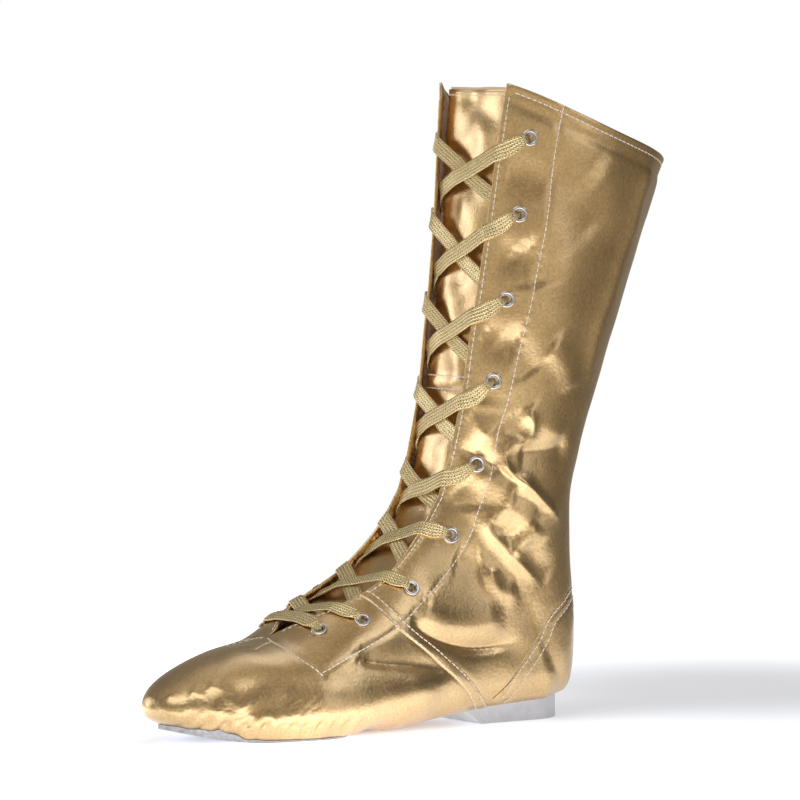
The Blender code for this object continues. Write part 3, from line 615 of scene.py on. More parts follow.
def add_piece(name, points, faces, finish, slot=None, nodes=(), uvs=None):
    mesh = bpy.data.meshes.new(name)
    points = (np.asarray(points) - (MIDDLE, 0.0, 0.0)) * MM
    mesh.from_pydata(points.tolist(), [], [tuple(int(k) for k in face) for face in faces])
    if uvs is not None:
        layer = mesh.uv_layers.new(name="along_across")
        corners = np.empty(len(mesh.loops), int)
        mesh.loops.foreach_get("vertex_index", corners)
        layer.data.foreach_set("uv", np.asarray(uvs, np.float32)[corners].ravel())
    mesh.shade_smooth()
    mesh.materials.append(finish)
    piece = bpy.data.objects.new(name, mesh)
    bpy.context.scene.collection.objects.link(piece)
    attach(piece, "root")
    if nodes:
        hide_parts(*nodes)
    return piece


def numbered(table):
    """Point numbers laid out in rows and columns as the points of a table are."""
    return np.arange(table.shape[0] * table.shape[1]).reshape(table.shape[:2])


def grid_faces(index):
    """Quads of a table of point numbers, leaving out missing corners (below nought) and merged ones."""
    faces = []
    rows = index.tolist()
    for near, far in zip(rows, rows[1:]):
        for corner in zip(near, far, far[1:], near[1:]):
            corners = tuple(dict.fromkeys(corner))
            if len(corners) > 2 and min(corners) >= 0:
                faces.append(corners)
    return faces


def slab_faces(rows, columns):
    """Faces over the upper points of a slab, under the lower ones, which follow them, and round the rim."""
    index = np.arange(rows * columns).reshape(rows, columns)
    count = index.size
    upper = grid_faces(index)
    lower = [tuple(k + count for k in face[::-1]) for face in upper]
    rim = [*index[0], *index[1:, -1], *index[-1, -2::-1], *index[-2:0:-1, 0]]
    sides = [(b, a, a + count, b + count) for a, b in zip(rim, rim[1:] + rim[:1])]
    return upper + lower + sides


def rolled(edge, outward, towards, radius):
    """Points that roll an edge over from outside to inside and a little way back, with their facing."""
    points, facing = [], []
    for angle in np.linspace(0.0, math.pi, EDGE_ROLL + 1)[1:]:
        turn = math.cos(angle) * outward + math.sin(angle) * towards
        points.append(edge + radius * (turn - outward))
        facing.append(turn)
    points.append(points[-1] - EDGE_FLAP * np.minimum(radius / EDGE_RADIUS, 1.0) * towards)
    facing.append(-outward)
    return points, facing


def eyelet_spots():
    """Row and column numbers of the eyelets, with their side and number."""
    places = front_places(EYELET_PLACES)
    spots = {}
    for name, side in SIDES.items():
        for number, place in enumerate(places, start=1):
            share = 1 - EYELET_INSET / np.interp(place, PLACES, HALF_LENGTH)
            spots[name, number] = (row_number(place), column_number(share, side))
    return spots


def make_skin(finish, holes):
    """The outside of the wall, with rolled edges, a closed toe and open holes."""
    skin = WALL_GRID + RELIEF[..., None] * NORMALS
    roll = EDGE_ROLL + 1
    radius = (EDGE_RADIUS * np.clip(GAPS / FULL_ROLL_GAP, LEAST_ROLL, 1.0))[:, None]
    inner = rolled(skin[:, 0], NORMALS[:, 0], unit(skin[:, 0] - skin[:, 1]), radius)
    outer = rolled(skin[:, -1], NORMALS[:, -1], unit(skin[:, -1] - skin[:, -2]), radius)
    points = np.concatenate((np.stack(inner[0][::-1], 1), skin, np.stack(outer[0], 1)), axis=1)
    facing = np.concatenate((np.stack(inner[1][::-1], 1), NORMALS, np.stack(outer[1], 1)), axis=1)
    columns = points.shape[1]
    edges = np.clip(np.arange(columns), roll, columns - roll - 1)
    outward_share = (facing[-1] * facing[-1, edges]).sum(axis=1)
    bead = EDGE_RADIUS * np.clip(0.5 + 0.5 * outward_share, LEAST_BEAD, 1.0)[:, None]
    collar = rolled(points[-1], facing[-1], unit(points[-1] - points[-2]), bead)
    points = np.concatenate((points, np.stack(collar[0])))
    index = numbered(points)
    index[len(skin) :, :COLLAR_CORNER] = -1
    index[len(skin) :, -COLLAR_CORNER:] = -1
    closed_rows = np.flatnonzero(CLOSED)
    index[closed_rows, :roll] = -1
    index[closed_rows, -roll:] = -1
    index[closed_rows, -roll - 1] = index[closed_rows, roll]
    faces = grid_faces(index)
    tip = np.array((FOOT_LENGTH, *skin[0].mean(axis=0)[1:]))
    flat = np.vstack((points.reshape(-1, 3), tip))
    ring = index[0, roll : -roll - 1]
    faces += [(ring[k - 1], ring[k], len(flat) - 1) for k in range(len(ring))]
    centres = np.array([flat[list(face[:3])].mean(axis=0) for face in faces])
    in_hole = np.zeros(len(faces), bool)
    for hole in holes:
        in_hole |= np.linalg.norm(centres - hole, axis=1) < EYELET_HOLE
    faces = [face for face, gone in zip(faces, in_hole) if not gone]
    used = np.unique(np.concatenate(faces))
    number = np.full(len(flat), -1)
    number[used] = np.arange(len(used))
    faces = [tuple(number[list(face)]) for face in faces]
    return add_piece("upper_skin", flat[used], faces, finish, "gold_leather", ["upper"])


def make_lining(finish):
    top = len(PLACES) - LINING_TOP
    rows = np.unique(np.append(np.arange(0, top, LINING_STEP), top))
    table = []
    for row in rows:
        most = 1.0 if CLOSED[row] else 1 - LINING_INSET / HALF_LENGTH[row]
        shares = np.linspace(-most, most, 2 * COLUMNS // LINING_STEP + 1)
        spots = np.column_stack((np.full(len(shares), row), COLUMNS * (1 + shares)))
        table.append(on_skin(spots, LINING_LIFT))
    points = np.array(table)
    index = numbered(points)
    closed_rows = np.flatnonzero(CLOSED[rows])
    index[closed_rows, -1] = index[closed_rows, 0]
    faces = [face[::-1] for face in grid_faces(index)]
    faces.append(tuple(index[0, :-1]))
    add_piece("lining", points.reshape(-1, 3), faces, finish, "lining_cloth")


# Front of the boot, where the lacing lies


def half_gap(place):
    return float(np.interp(place, PLACES, GAPS))


def front_facing(place):
    """The outward direction in the middle of the lacing."""
    row = row_number(place)
    steps = np.array([(row + step, column) for step in (-1, 1) for column in (0, 2 * COLUMNS)])
    spots = between(WALL_GRID, steps)
    return unit(np.cross((0.0, 1.0, 0.0), spots[2] + spots[3] - spots[0] - spots[1]))


def front_point(place, aside, lift):
    """A point of the front: aside is the distance from the middle of the lacing, along the wall outside the
    gap and along the chord within it, and lift is outward from there. It gives the outward direction too."""
    side = 1 if aside >= 0 else -1
    gap = half_gap(place)
    facing = front_facing(place)
    row = row_number(place)
    outside = abs(aside) - gap
    if outside < 0:
        edges = on_skin([(row, 0), (row, 2 * COLUMNS)])
        blend = (aside + gap) / (2 * gap)
        return (1 - blend) * edges[0] + blend * edges[1] + lift * facing, facing
    share = 1 - outside / np.interp(place, PLACES, HALF_LENGTH)
    spot = [(row, column_number(share, side))]
    turn = min(outside / EDGE_TURN, 1.0)
    outward = unit((1 - turn) * facing + turn * between(NORMALS, spot)[0])
    return on_skin(spot)[0] + lift * outward, outward


def front_places(distances):
    """Row numbers of the sections at distances down the lacing edge from the collar."""
    rows = np.flatnonzero(~CLOSED)[::-1]
    down = travel(WALL_GRID[rows, -1])
    return [float(place) for place in np.interp(distances, down, PLACES[rows])]


# Seams and stitches


def seam_strip(name, side, finish):
    """The raised strip over the seam between vamp and quarter."""
    line = side_line(side, VAMP_SEAM)
    rows = [on_skin(moved_aside(line, SEAM_WIDTH * across), SEAM_LIFT * up) for across, up in SEAM_PROFILE]
    points = np.stack(rows, axis=1)
    faces = grid_faces(numbered(points))
    add_piece(f"{name}_strip", points.reshape(-1, 3), faces, finish, "gold_leather", [name])


def make_counter(finish, tree):
    """The panel round the heel, cast outward on to the skin at each height."""
    edge = smooth_line(COUNTER_EDGE)
    heights = np.linspace(edge[0, 1], COUNTER_TOP, COUNTER_HEIGHTS)
    table = []
    for up in heights:
        front = np.interp(up, edge[:, 1], edge[:, 0]) + COUNTER_FORWARD
        axis = Vector((COUNTER_AXIS, HEEL_MIDDLE, up))
        ends = []
        for side in (1, -1):
            hit = tree.ray_cast(Vector((front, HEEL_MIDDLE, up)), Vector((0.0, side, 0.0)))[0]
            reach = hit - axis if hit else Vector((-1.0, COUNTER_BACK * side, 0.0))
            ends.append(math.atan2(reach.y, reach.x) % (2 * math.pi))
        row = []
        angles = np.linspace(ends[0], ends[1], COUNTER_SPOKES)
        for angle in (angles[0], *angles, angles[-1]):
            spoke = Vector((math.cos(angle), math.sin(angle), 0.0))
            hit, normal, *_ = tree.ray_cast(axis, spoke)
            normal = normal if normal.dot(spoke) > 0 else -normal
            at_rim = len(row) in (0, len(angles) + 1) or up == heights[-1]
            row.append(np.array(hit + (-COUNTER_TUCK if at_rim else COUNTER_LIFT) * normal))
        table.append(row)
    points = np.array(table)
    faces = grid_faces(numbered(points).T)
    add_piece("counter_panel", points.reshape(-1, 3), faces, finish, "gold_leather", ["heel_counter"])


def sew(path, outward):
    """Points and faces of a row of stitches along a path: short threads whose ends dip into the leather."""
    travelled = travel(path)
    count = max(int(travelled[-1] / STITCH_PITCH), 1)
    rings = len(STITCH_STOPS)
    starts = (np.arange(count) + 0.5) * travelled[-1] / count - STITCH_LENGTH / 2
    along = (starts[:, None] + STITCH_LENGTH * np.array(STITCH_STOPS)).ravel()
    raised = np.tile(STITCH_RADIUS * np.array(STITCH_HEIGHTS), count)
    facing = unit(points_at(along, travelled, outward))
    centre = points_at(along, travelled, path) + raised[:, None] * facing
    centre, facing = centre.reshape(count, rings, 3), facing.reshape(count, rings, 3)
    forward = unit(np.gradient(centre, axis=1))
    wide = unit(np.cross(facing, forward))
    thick = np.cross(forward, wide)
    turns = np.linspace(0.0, 2 * math.pi, STITCH_SIDES, endpoint=False)
    around = [centre + STITCH_RADIUS * (math.cos(turn) * wide + math.sin(turn) * thick) for turn in turns]
    points = np.stack(around, axis=2).reshape(-1, 3)
    faces = []
    for stitch in np.arange(len(points)).reshape(count, rings, STITCH_SIDES):
        for near, far in zip(stitch, stitch[1:]):
            faces += zip(near, np.roll(near, -1), np.roll(far, -1), far)
        faces += [tuple(stitch[0, ::-1]), tuple(stitch[-1])]
    return points, faces


def stitches(line, lift):
    return sew(on_skin(line, lift), between(NORMALS, line))


def add_stitches(name, rows, finish):
    points, faces = [], []
    for some_points, some_faces in rows:
        first = sum(len(part) for part in points)
        points.append(some_points)
        faces += [tuple(first + k for k in face) for face in some_faces]
    add_piece(name, np.vstack(points), faces, finish)


def stitch_lines():
    """Named rows of stitching on the wall, each a list of lines with their lift."""
    edge_rows = np.flatnonzero(~CLOSED)[EDGE_STITCH_ROWS]
    named = {"collar": [(collar_line(COLLAR_STITCH), 0.0)]}
    for name, side in SIDES.items():
        edge = column_number(1 - EDGE_STITCH / HALF_LENGTH[edge_rows], side)
        named[f"edge_{name}"] = [(np.column_stack((edge_rows, edge)), 0.0)]
        eyestay = side_line(side, EYESTAY_LINE), wall_line(side, THROAT_LINE), wall_line(side, THROAT_BAR)
        named[f"eyestay_{name}"] = [(line, 0.0) for line in eyestay]
        seam = side_line(side, VAMP_SEAM)
        named[f"vamp_{name}"] = [(moved_aside(seam, offset), SEAM_LIFT) for offset in SEAM_ROWS]
        counter = side_line(side, (*COUNTER_EDGE[:-1], COUNTER_STITCH_TOP))
        named[f"counter_{name}"] = [
            (moved_aside(counter, -side * offset), COUNTER_LIFT) for offset in COUNTER_ROWS
        ]
    return named


# Eyelets and lace


def make_eyelets(spots, finish):
    """Rolled rings: a flange over the leather, round at the rim, and a barrel through it."""
    profile = []
    for turn in np.linspace(*RIM_TURN, TURN_STEPS):
        radius = EYELET_FLANGE - RIM_ROUND + RIM_ROUND * math.cos(turn)
        profile.append((radius, RIM_HEIGHT + RIM_HEIGHT * math.sin(turn)))
    for turn in np.linspace(*MOUTH_TURN, TURN_STEPS):
        radius = EYELET_HOLE + MOUTH_ROUND + MOUTH_ROUND * math.cos(turn)
        profile.append((radius, MOUTH_HEIGHT + MOUTH_ROUND * math.sin(turn)))
    outside = EYELET_HOLE + BARREL_WALL
    profile += [(EYELET_HOLE, BARREL_DEPTH), (outside, BARREL_DEPTH), (outside, BARREL_TOP)]
    index = np.arange(EYELET_SIDES * len(profile)).reshape(EYELET_SIDES, -1)
    index = np.vstack((index, index[:1]))
    faces = grid_faces(np.hstack((index, index[:, :1])))
    for (side, number), spot in spots.items():
        centre = on_skin([spot])[0]
        axis = between(NORMALS, [spot])[0]
        wide = unit(np.cross(axis, (0.0, 0.0, 1.0)))
        tall = np.cross(axis, wide)
        points = []
        for turn in np.linspace(0.0, 2 * math.pi, EYELET_SIDES, endpoint=False):
            outward = math.cos(turn) * wide + math.sin(turn) * tall
            points += [centre + radius * outward + up * axis for radius, up in profile]
        name = f"eyelet_{side}_{number}"
        add_piece(f"{name}_ring", points, faces, finish, "eyelet_steel", [name])


def lace_lift(across, over):
    """Height of the lace between the edge it lies on (1) and the edge it passes under (-1)."""
    crossing = LACE_CROSSING if over else -LACE_CROSSING
    return float(np.interp(across, LACE_STOPS, (*LACE_UNDER, crossing, crossing, *LACE_OVER)))


def out_of_hole(distance, lift, hump):
    """Height of the lace at a distance from the hole it comes out of, where its height beyond it is lift."""
    if distance < HOLE_REACH:
        return HOLE_DEPTH + HOLE_RISE * distance / HOLE_REACH
    return lift + hump * math.exp(-(((distance - HUMP_AT) / HOLE_REACH) ** 2))


def pinched(distance):
    """Share of the lace's full width at a distance from a hole."""
    return PINCH + (1 - PINCH) * eased((distance - PINCH_START) / PINCH_REACH)


def lace_strand(places, number, side):
    """The lace from the hole of one eyelet, over its edge, across and under the other edge to the next one
    down: points with their outward direction and share of the full width."""
    start, stop = places[number - 1], places[number]
    from_aside = side * (half_gap(start) + EYELET_INSET)
    to_aside = -side * (half_gap(stop) + EYELET_INSET)
    length = np.linalg.norm(front_point(start, from_aside, 0)[0] - front_point(stop, to_aside, 0)[0])
    strand = []
    for share in np.linspace(0.0, 1.0, int(length / LACE_STEP) + 1):
        near_outer = share if side > 0 else 1 - share
        slack = LACE_SLACK * eased(near_outer / LACE_OUTSIDE) * eased((1 - near_outer) / (1 - LACE_OUTSIDE))
        place = start + (stop - start) * (share + slack)
        aside = from_aside + (to_aside - from_aside) * share
        from_start, from_stop = share * length, (1 - share) * length
        lift = lace_lift(side * aside / half_gap(place), side > 0)
        lift = UNDER_DEPTH if from_stop < UNDER_END else out_of_hole(from_start, lift, STRAND_HUMP)
        strand.append((*front_point(place, aside, lift), pinched(min(from_start, from_stop))))
    return strand


def lace_bar(places):
    """The lowest bar, outside from eyelet to eyelet."""
    place = places[-1]
    reach = half_gap(place) + EYELET_INSET
    bar = []
    for aside in np.linspace(reach, -reach, int(2 * reach / LACE_STEP) + 1):
        inward = reach - abs(aside)
        lift = out_of_hole(inward, LACE_BAR_LIFT, BAR_HUMP)
        bar.append((*front_point(place, aside, lift), pinched(inward)))
    return bar


def lace_route(places):
    """One lace: down from the outer top eyelet, across the lowest bar, and up to the inner top eyelet."""
    down, up = [], []
    for number in range(1, len(places)):
        side = 1 if number % 2 else -1
        down += lace_strand(places, number, side)
        up += lace_strand(places, number, -side)
    ends = []
    for side in (1, -1):
        aside = side * (half_gap(places[0]) + EYELET_INSET)
        ends.append([(*front_point(places[0], aside, depth), PINCH) for depth in END_DEPTHS])
    return ends[0] + down + lace_bar(places) + up[::-1] + ends[1][::-1]


def smoothed(values, passes):
    values = np.array(values, float)
    for _ in range(passes):
        values[1:-1] = (values[:-2] + 2 * values[1:-1] + values[2:]) / 4
    return values


def ribbon_frames(points, outward):
    """Width directions along a ribbon, turned smoothly where it passes through a hole."""
    forward = unit(np.gradient(points, axis=0))
    raw = np.cross(outward, forward)
    size = np.linalg.norm(raw, axis=1)
    wide = np.empty_like(raw)
    last = raw[0] / size[0] if size[0] > FIRST_TURN_LEAST else np.array((0.0, 0.0, 1.0))
    for k in range(len(points)):
        now = raw[k] / size[k] if size[k] > TURN_LEAST else last - last.dot(forward[k]) * forward[k]
        now = now if now.dot(last) >= 0 else -now
        last = unit(now)
        wide[k] = last
    wide = unit(smoothed(wide, TURN_PASSES))
    wide = unit(wide - (wide * forward).sum(1, keepdims=True) * forward)
    return wide, np.cross(forward, wide)


def make_lace(finish, places):
    points, outward, full = zip(*lace_route(places))
    points = smoothed(points, PATH_PASSES)
    full = smoothed(full, WIDTH_PASSES)
    wide, thick = ribbon_frames(points, np.array(outward))
    across = np.linspace(-1.0, 1.0, RIB_STEPS * LACE_RIBS + 1)
    ribs = RIB_HEIGHT * np.cos(across * LACE_RIBS * math.pi) - RIB_SINK
    top = (1 - np.abs(across) ** LACE_SQUARE) ** 0.5 * (1 + ribs)
    outline = [*zip(across, top), *zip(across[-2:0:-1], -top[-2:0:-1])]
    table, uvs = [], []
    for k, travelled in enumerate(travel(points)):
        half = LACE_WIDTH / 2 * full[k]
        deep = LACE_THICKNESS / 2 / max(full[k], PINCH) ** PINCH_THICKEN
        table.append([points[k] + x * half * wide[k] + y * deep * thick[k] for x, y in outline])
        uvs += [(travelled * MM, x) for x, _ in outline]
    table = np.array(table)
    index = numbered(table)
    faces = grid_faces(np.hstack((index, index[:, :1])))
    faces += [tuple(index[0]), tuple(index[-1][::-1])]
    nodes = [f"lace_cross_{number}" for number in range(1, len(places))] + ["lace_bar"]
    add_piece("lace", table.reshape(-1, 3), faces, finish, "gold_lace", nodes, uvs)


# Tongue


def tongue_spot(place, share, lift=0.0):
    """A point on the tongue's face and its outward direction."""
    gap = half_gap(place)
    aside = (gap + TONGUE_TUCK) * share
    under_vamp = min(max((ROW_OF["throat"] - place) / TONGUE_ROOT_ROWS, 0.0), 1.0)
    drop = TONGUE_DROP + (WALL + TONGUE_UNDER_VAMP - TONGUE_DROP) * under_vamp
    inside = max(1 - (aside / gap) ** 2, 0.0) if gap > TONGUE_LEAST_GAP else 0.0
    base, outward = front_point(place, aside, 0.0)
    puff = sum(height * noise.noise(Vector(base) / length) for height, length in TONGUE_WAVES)
    high, low = front_places(TONGUE_BAND)
    band = TONGUE_BAND_LIFT * math.exp(-(((2 * place - high - low) / (high - low)) ** TONGUE_BAND_SQUARE))
    return base + ((TONGUE_CROWN + puff) * inside - drop + band + lift) * outward, outward


def make_tongue(finish, cloth_finish, thread_finish):
    root = ROW_OF["throat"] - TONGUE_ROOT_ROWS
    length = travel(WALL_GRID[~CLOSED, -1])[-1]
    distances = np.linspace(length, TONGUE_BELOW_COLLAR, TONGUE_ROWS)
    places = [*np.linspace(root, ROW_OF["throat"], TONGUE_ROOT_STEPS), *front_places(distances)]
    shares = np.linspace(-1.0, 1.0, TONGUE_COLUMNS + 1)
    spots = [tongue_spot(place, share) for place in places for share in shares]
    top = [point for point, _ in spots]
    below = [point - TONGUE_THICKNESS * outward for point, outward in spots]
    faces = slab_faces(len(places), len(shares))
    add_piece("tongue_leather", top + below, faces, finish, "gold_leather", ["tongue"])

    rows = []
    across = np.linspace(-TONGUE_STITCH_REACH, TONGUE_STITCH_REACH, TONGUE_STITCH_POINTS)
    for place in front_places((*TONGUE_BAND, TONGUE_BELOW_COLLAR + COLLAR_STITCH)):
        path, outward = zip(*(tongue_spot(place, share) for share in across))
        rows.append(sew(np.array(path), np.array(outward)))
    add_stitches("stitches_tongue", rows, thread_finish)

    back = TONGUE_THICKNESS + TONGUE_CLOTH
    stops = [(place, back) for place in places[::TONGUE_CLOTH_STEP]]
    for above, depth in TONGUE_CLOTH_TURN:
        stops.append((front_places([TONGUE_BELOW_COLLAR - above])[0], depth))
    sheet = np.array([[tongue_spot(place, share, -depth)[0] for share in shares] for place, depth in stops])
    faces = grid_faces(numbered(sheet))
    add_piece("tongue_lining", sheet.reshape(-1, 3), faces, cloth_finish, "lining_cloth")


# Sole, heel and insole


def half_width_at(along):
    """Half width of the last and its middle line at a distance from the heel."""
    rows = [smooth_row(place) for place in np.linspace(ROW_OF["heel_corner"], 0, DENSE)]
    at = [row.back_along for row in rows]
    half = np.interp(along, at, [row.half for row in rows])
    return half, np.interp(along, at, [row.back_side for row in rows])


def round_end(distance, reach):
    inside = min(max(distance / reach, BLUNT_END), 1.0)
    return math.sqrt(1 - (1 - inside) ** 2)


def spread(start, end):
    """Stations between two ends, closer together towards both."""
    turns = (math.pi * k / PLATE_STATIONS for k in range(PLATE_STATIONS + 1))
    return [start + (end - start) * (1 - math.cos(turn)) / 2 for turn in turns]


def toe_spring(x):
    return SPRING_LIFT * max((x - SPRING_START) / (FOOT_LENGTH - SPRING_START), 0.0) ** 2


def plate(stations, top_of, bottom_of):
    """A closed plate: stations give x on top, x below, half width and middle line."""
    across = np.sin(np.linspace(-math.pi / 2, math.pi / 2, PLATE_COLUMNS + 1))
    top, bottom = [], []
    for top_x, bottom_x, half, middle in stations:
        for share in across:
            y = middle + half * share
            top.append((top_x, y, top_of(top_x, y)))
            bottom.append((bottom_x, y, bottom_of(bottom_x, y)))
    return top + bottom, [face[::-1] for face in slab_faces(len(stations), len(across))]


def base_tree(lift):
    """The smooth wall, without creases, for seating the insole."""
    points = WALL_GRID + lift * NORMALS
    corners = [Vector(point) for point in points.reshape(-1, 3)]
    return BVHTree.FromPolygons(corners, grid_faces(numbered(points)))


def height_at(tree, x, y, start, direction, otherwise):
    hit = tree.ray_cast(Vector((x, y, start)), Vector((0.0, 0.0, direction)))[0]
    return hit.z if hit else otherwise


def soften_edges(piece, width):
    bevel = piece.modifiers.new("soft_edges", "BEVEL")
    bevel.width = width * MM
    bevel.segments = BEVEL_SEGMENTS
    bevel.angle_limit = BEVEL_ANGLE


def make_sole(finish, outside):
    stations = []
    for x in spread(SOLE_REAR, SOLE_FRONT):
        half, middle = half_width_at(x)
        ends = round_end(x - SOLE_REAR, SOLE_REAR_ROUND) * round_end(SOLE_FRONT - x, SOLE_FRONT_ROUND)
        stations.append((x, x, half * SOLE_SHARE * ends, middle))

    def pad_top(x, y):
        return height_at(outside, x, y, -BALL_WIDTH, 1.0, toe_spring(x) + SOLE_THICKNESS) - SEAT_GAP / 2

    pad = plate(stations, pad_top, lambda x, y: toe_spring(x))
    soften_edges(add_piece("forefoot_pad", *pad, finish, "sole_suede", ["forefoot_sole"]), SOLE_BEVEL)


def make_heel(finish, outside):
    stations = []
    for share in spread(0.0, 1.0):
        bottom_x = HEEL_BACK + HEEL_LENGTH * share
        half = HEEL_WIDTH / 2 * round_end(bottom_x - HEEL_BACK, HEEL_WIDTH / 2)
        stations.append((bottom_x + HEEL_FRONT_LEAN * share**2, bottom_x, half, HEEL_MIDDLE))

    def heel_top(x, y):
        return min(height_at(outside, x, y, -BALL_WIDTH, 1.0, HEEL_TOP), HEEL_TOP)

    heel = plate(stations, heel_top, lambda x, y: 0.0)
    soften_edges(add_piece("heel_block", *heel, finish, "heel_foam", ["heel"]), HEEL_BEVEL)


def make_insole(finish):
    inside = base_tree(-WALL)
    low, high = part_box("insole")
    back, front = low[0] / MM + MIDDLE, high[0] / MM + MIDDLE

    def insole_low(x, y):
        return height_at(inside, x, y, ABOVE_INSOLE, -1.0, ABOVE_INSOLE) + SEAT_GAP

    def flat_reach(x, middle):
        """How far out the floor inside stays within the insole's dish, on the nearer side."""
        most = insole_low(x, middle) + INSOLE_DISH
        offsets = np.arange(0.0, BALL_WIDTH / 2, INSOLE_STEP)
        for offset in offsets:
            if max(insole_low(x, middle + offset), insole_low(x, middle - offset)) > most:
                return offset
        return offsets[-1]

    stations = []
    for x in spread(back, front):
        middle = half_width_at(x)[1]
        ends = round_end(x - back, INSOLE_ENDS[0]) * round_end(front - x, INSOLE_ENDS[1])
        stations.append((x, x, flat_reach(x, middle) * ends, middle))
    insole = plate(stations, lambda x, y: insole_low(x, y) + INSOLE_THICKNESS, insole_low)
    add_piece("insole_pad", *insole, finish, "lining_cloth", ["insole"])


# Finishes

# Colour ramps: each stop is its place on the ramp and a colour
GOLD = (0.36, (0.59, 0.36, 0.115)), (0.64, (0.84, 0.56, 0.215))
# The lace's ramp runs from painted shade, near black between yarns and ribs, to a cream painted highlight
BRAID_SHADE_TO_HIGHLIGHT = (0.40, (0.09, 0.045, 0.01)), (0.60, (0.66, 0.44, 0.14)), (0.85, (1.0, 0.90, 0.58))
CREAM = (0.3, (0.86, 0.77, 0.64)), (0.7, (0.97, 0.93, 0.86))
SUEDE_GREY = (0.3, (0.50, 0.50, 0.53)), (0.7, (0.72, 0.72, 0.74))
FOAM_GREY = (0.3, (0.70, 0.70, 0.73)), (0.7, (0.78, 0.78, 0.81))
PEACH = (0.3, (0.88, 0.70, 0.54)), (0.7, (0.94, 0.79, 0.64))
STEEL_COLOUR = (0.66, 0.63, 0.60, 1.0)

# What the leather's tone takes from its grain and its patches, and the lace's from yarn, rib and sparkle: on
# the lace, painted shade between yarns and between ribs, and painted glints
GRAIN_SHARE = 0.55
PATCH_SHARE = 0.45
YARN_LENGTH = 1.5
YARN_SLANT = 1.6
YARN_SHADE_SHARE = 0.75
RIB_SHADE_SHARE = 0.45
PAINTED_GLINT_SHARE = 0.75


class Nodes:
    """A node tree, with short ways to add nodes to it."""

    def __init__(self, tree):
        self.tree = tree

    def feed(self, socket, value):
        if isinstance(value, bpy.types.NodeSocket):
            self.tree.links.new(value, socket)
        else:
            socket.default_value = value

    def node(self, kind, inputs=None, **settings):
        made = self.tree.nodes.new(f"ShaderNode{kind}")
        for setting, value in settings.items():
            setattr(made, setting, value)
        for socket, value in (inputs or {}).items():
            self.feed(made.inputs[socket], value)
        return made

    def ramp(self, value, *stops):
        made = self.node("ValToRGB", {"Fac": value})
        elements = made.color_ramp.elements
        for element, (position, colour) in zip((elements[0], elements[1]), (stops[0], stops[-1])):
            element.position, element.color = position, (*colour, 1.0)
        for position, colour in stops[1:-1]:
            elements.new(position).color = (*colour, 1.0)
        return made.outputs["Color"]

    def math(self, operation, *values):
        return self.node("Math", dict(enumerate(values)), operation=operation).outputs["Value"]

    def vector(self, operation, *values):
        return self.node("VectorMath", dict(enumerate(values)), operation=operation).outputs

    def span(self, value, low, high, start=0.0, end=1.0, **settings):
        """Low where the value is at start, rising or falling to high at end."""
        inputs = {"Value": value, "From Min": start, "From Max": end, "To Min": low, "To Max": high}
        return self.node("MapRange", inputs, **settings).outputs["Result"]


class Finish(Nodes):
    """A Principled material. The values given are the same all over."""

    def __init__(self, name, **values):
        self.material = bpy.data.materials.new(name)
        self.material.use_nodes = True
        super().__init__(self.material.node_tree)
        self.shader = self.tree.nodes["Principled BSDF"]
        self.place = self.node("TexCoord").outputs["Object"]
        self.normal = None
        for socket, value in values.items():
            self.drive(socket.replace("_", " "), value)

    def drive(self, socket, value):
        self.feed(self.shader.inputs[socket], value)

    def noise(self, scale, detail=2.0, roughness=0.5):
        inputs = {"Vector": self.place, "Scale": scale, "Detail": detail, "Roughness": roughness}
        return self.node("TexNoise", inputs).outputs["Fac"]

    def colour(self, value, stops):
        self.drive("Base Color", self.ramp(value, *stops))

    def bump(self, height, distance, strength):
        inputs = {"Height": height, "Distance": distance * MM, "Strength": strength}
        if self.normal:
            inputs["Normal"] = self.normal
        self.normal = self.node("Bump", inputs).outputs["Normal"]
        self.drive("Normal", self.normal)


def gold_leather():
    """Metallic foil leather: soft tone changes, fine sparkling grain and a thin clear coat."""
    finish = Finish("gold_leather", Metallic=1.0, Coat_Weight=0.8, Coat_Roughness=0.30, Coat_IOR=2.2)
    grain = finish.noise(750.0, 2.0, 0.6)
    patches = finish.math("MULTIPLY", finish.noise(38.0, 3.0), PATCH_SHARE)
    finish.colour(finish.math("MULTIPLY_ADD", grain, GRAIN_SHARE, patches), GOLD)
    finish.drive("Roughness", finish.span(grain, 0.24, 0.38))
    finish.bump(finish.noise(150.0), 0.22, 0.5)
    finish.bump(grain, 0.18, 0.9)
    return finish.material


def gold_lace():
    """Flat metallic braid: crossing yarns in lengthwise ribs, with painted shade between yarns and ribs and
    painted bright and dark glints in its colour.
    """
    finish = Finish("gold_lace", Metallic=0.6, Roughness=0.3)
    flat = finish.node("UVMap", uv_map="along_across").outputs["UV"]
    parts = finish.node("SeparateXYZ", {"Vector": flat})
    along = finish.math("MULTIPLY", parts.outputs["X"], 1 / (YARN_LENGTH * MM))
    ribs = finish.math("MULTIPLY", parts.outputs["Y"], LACE_RIBS / 2)
    slant = finish.math("PINGPONG", ribs, 0.5)
    phase = finish.math("ADD", along, finish.math("MULTIPLY", slant, YARN_SLANT))
    yarn = finish.math("PINGPONG", phase, 0.5)
    sparkle = finish.noise(1700.0)
    # Painted shade between yarns and between ribs, and painted glints, make up the lace's colour
    painted_yarn_shade = finish.math("MULTIPLY", yarn, YARN_SHADE_SHARE)
    painted_rib_shade = finish.math("MULTIPLY", slant, RIB_SHADE_SHARE)
    painted_glints = finish.math("MULTIPLY", sparkle, PAINTED_GLINT_SHARE)
    finish.colour(finish.math("ADD", finish.math("ADD", painted_yarn_shade, painted_rib_shade), painted_glints), BRAID_SHADE_TO_HIGHLIGHT)
    finish.bump(yarn, 0.35, 0.9)
    finish.bump(sparkle, 0.12, 0.6)
    return finish.material


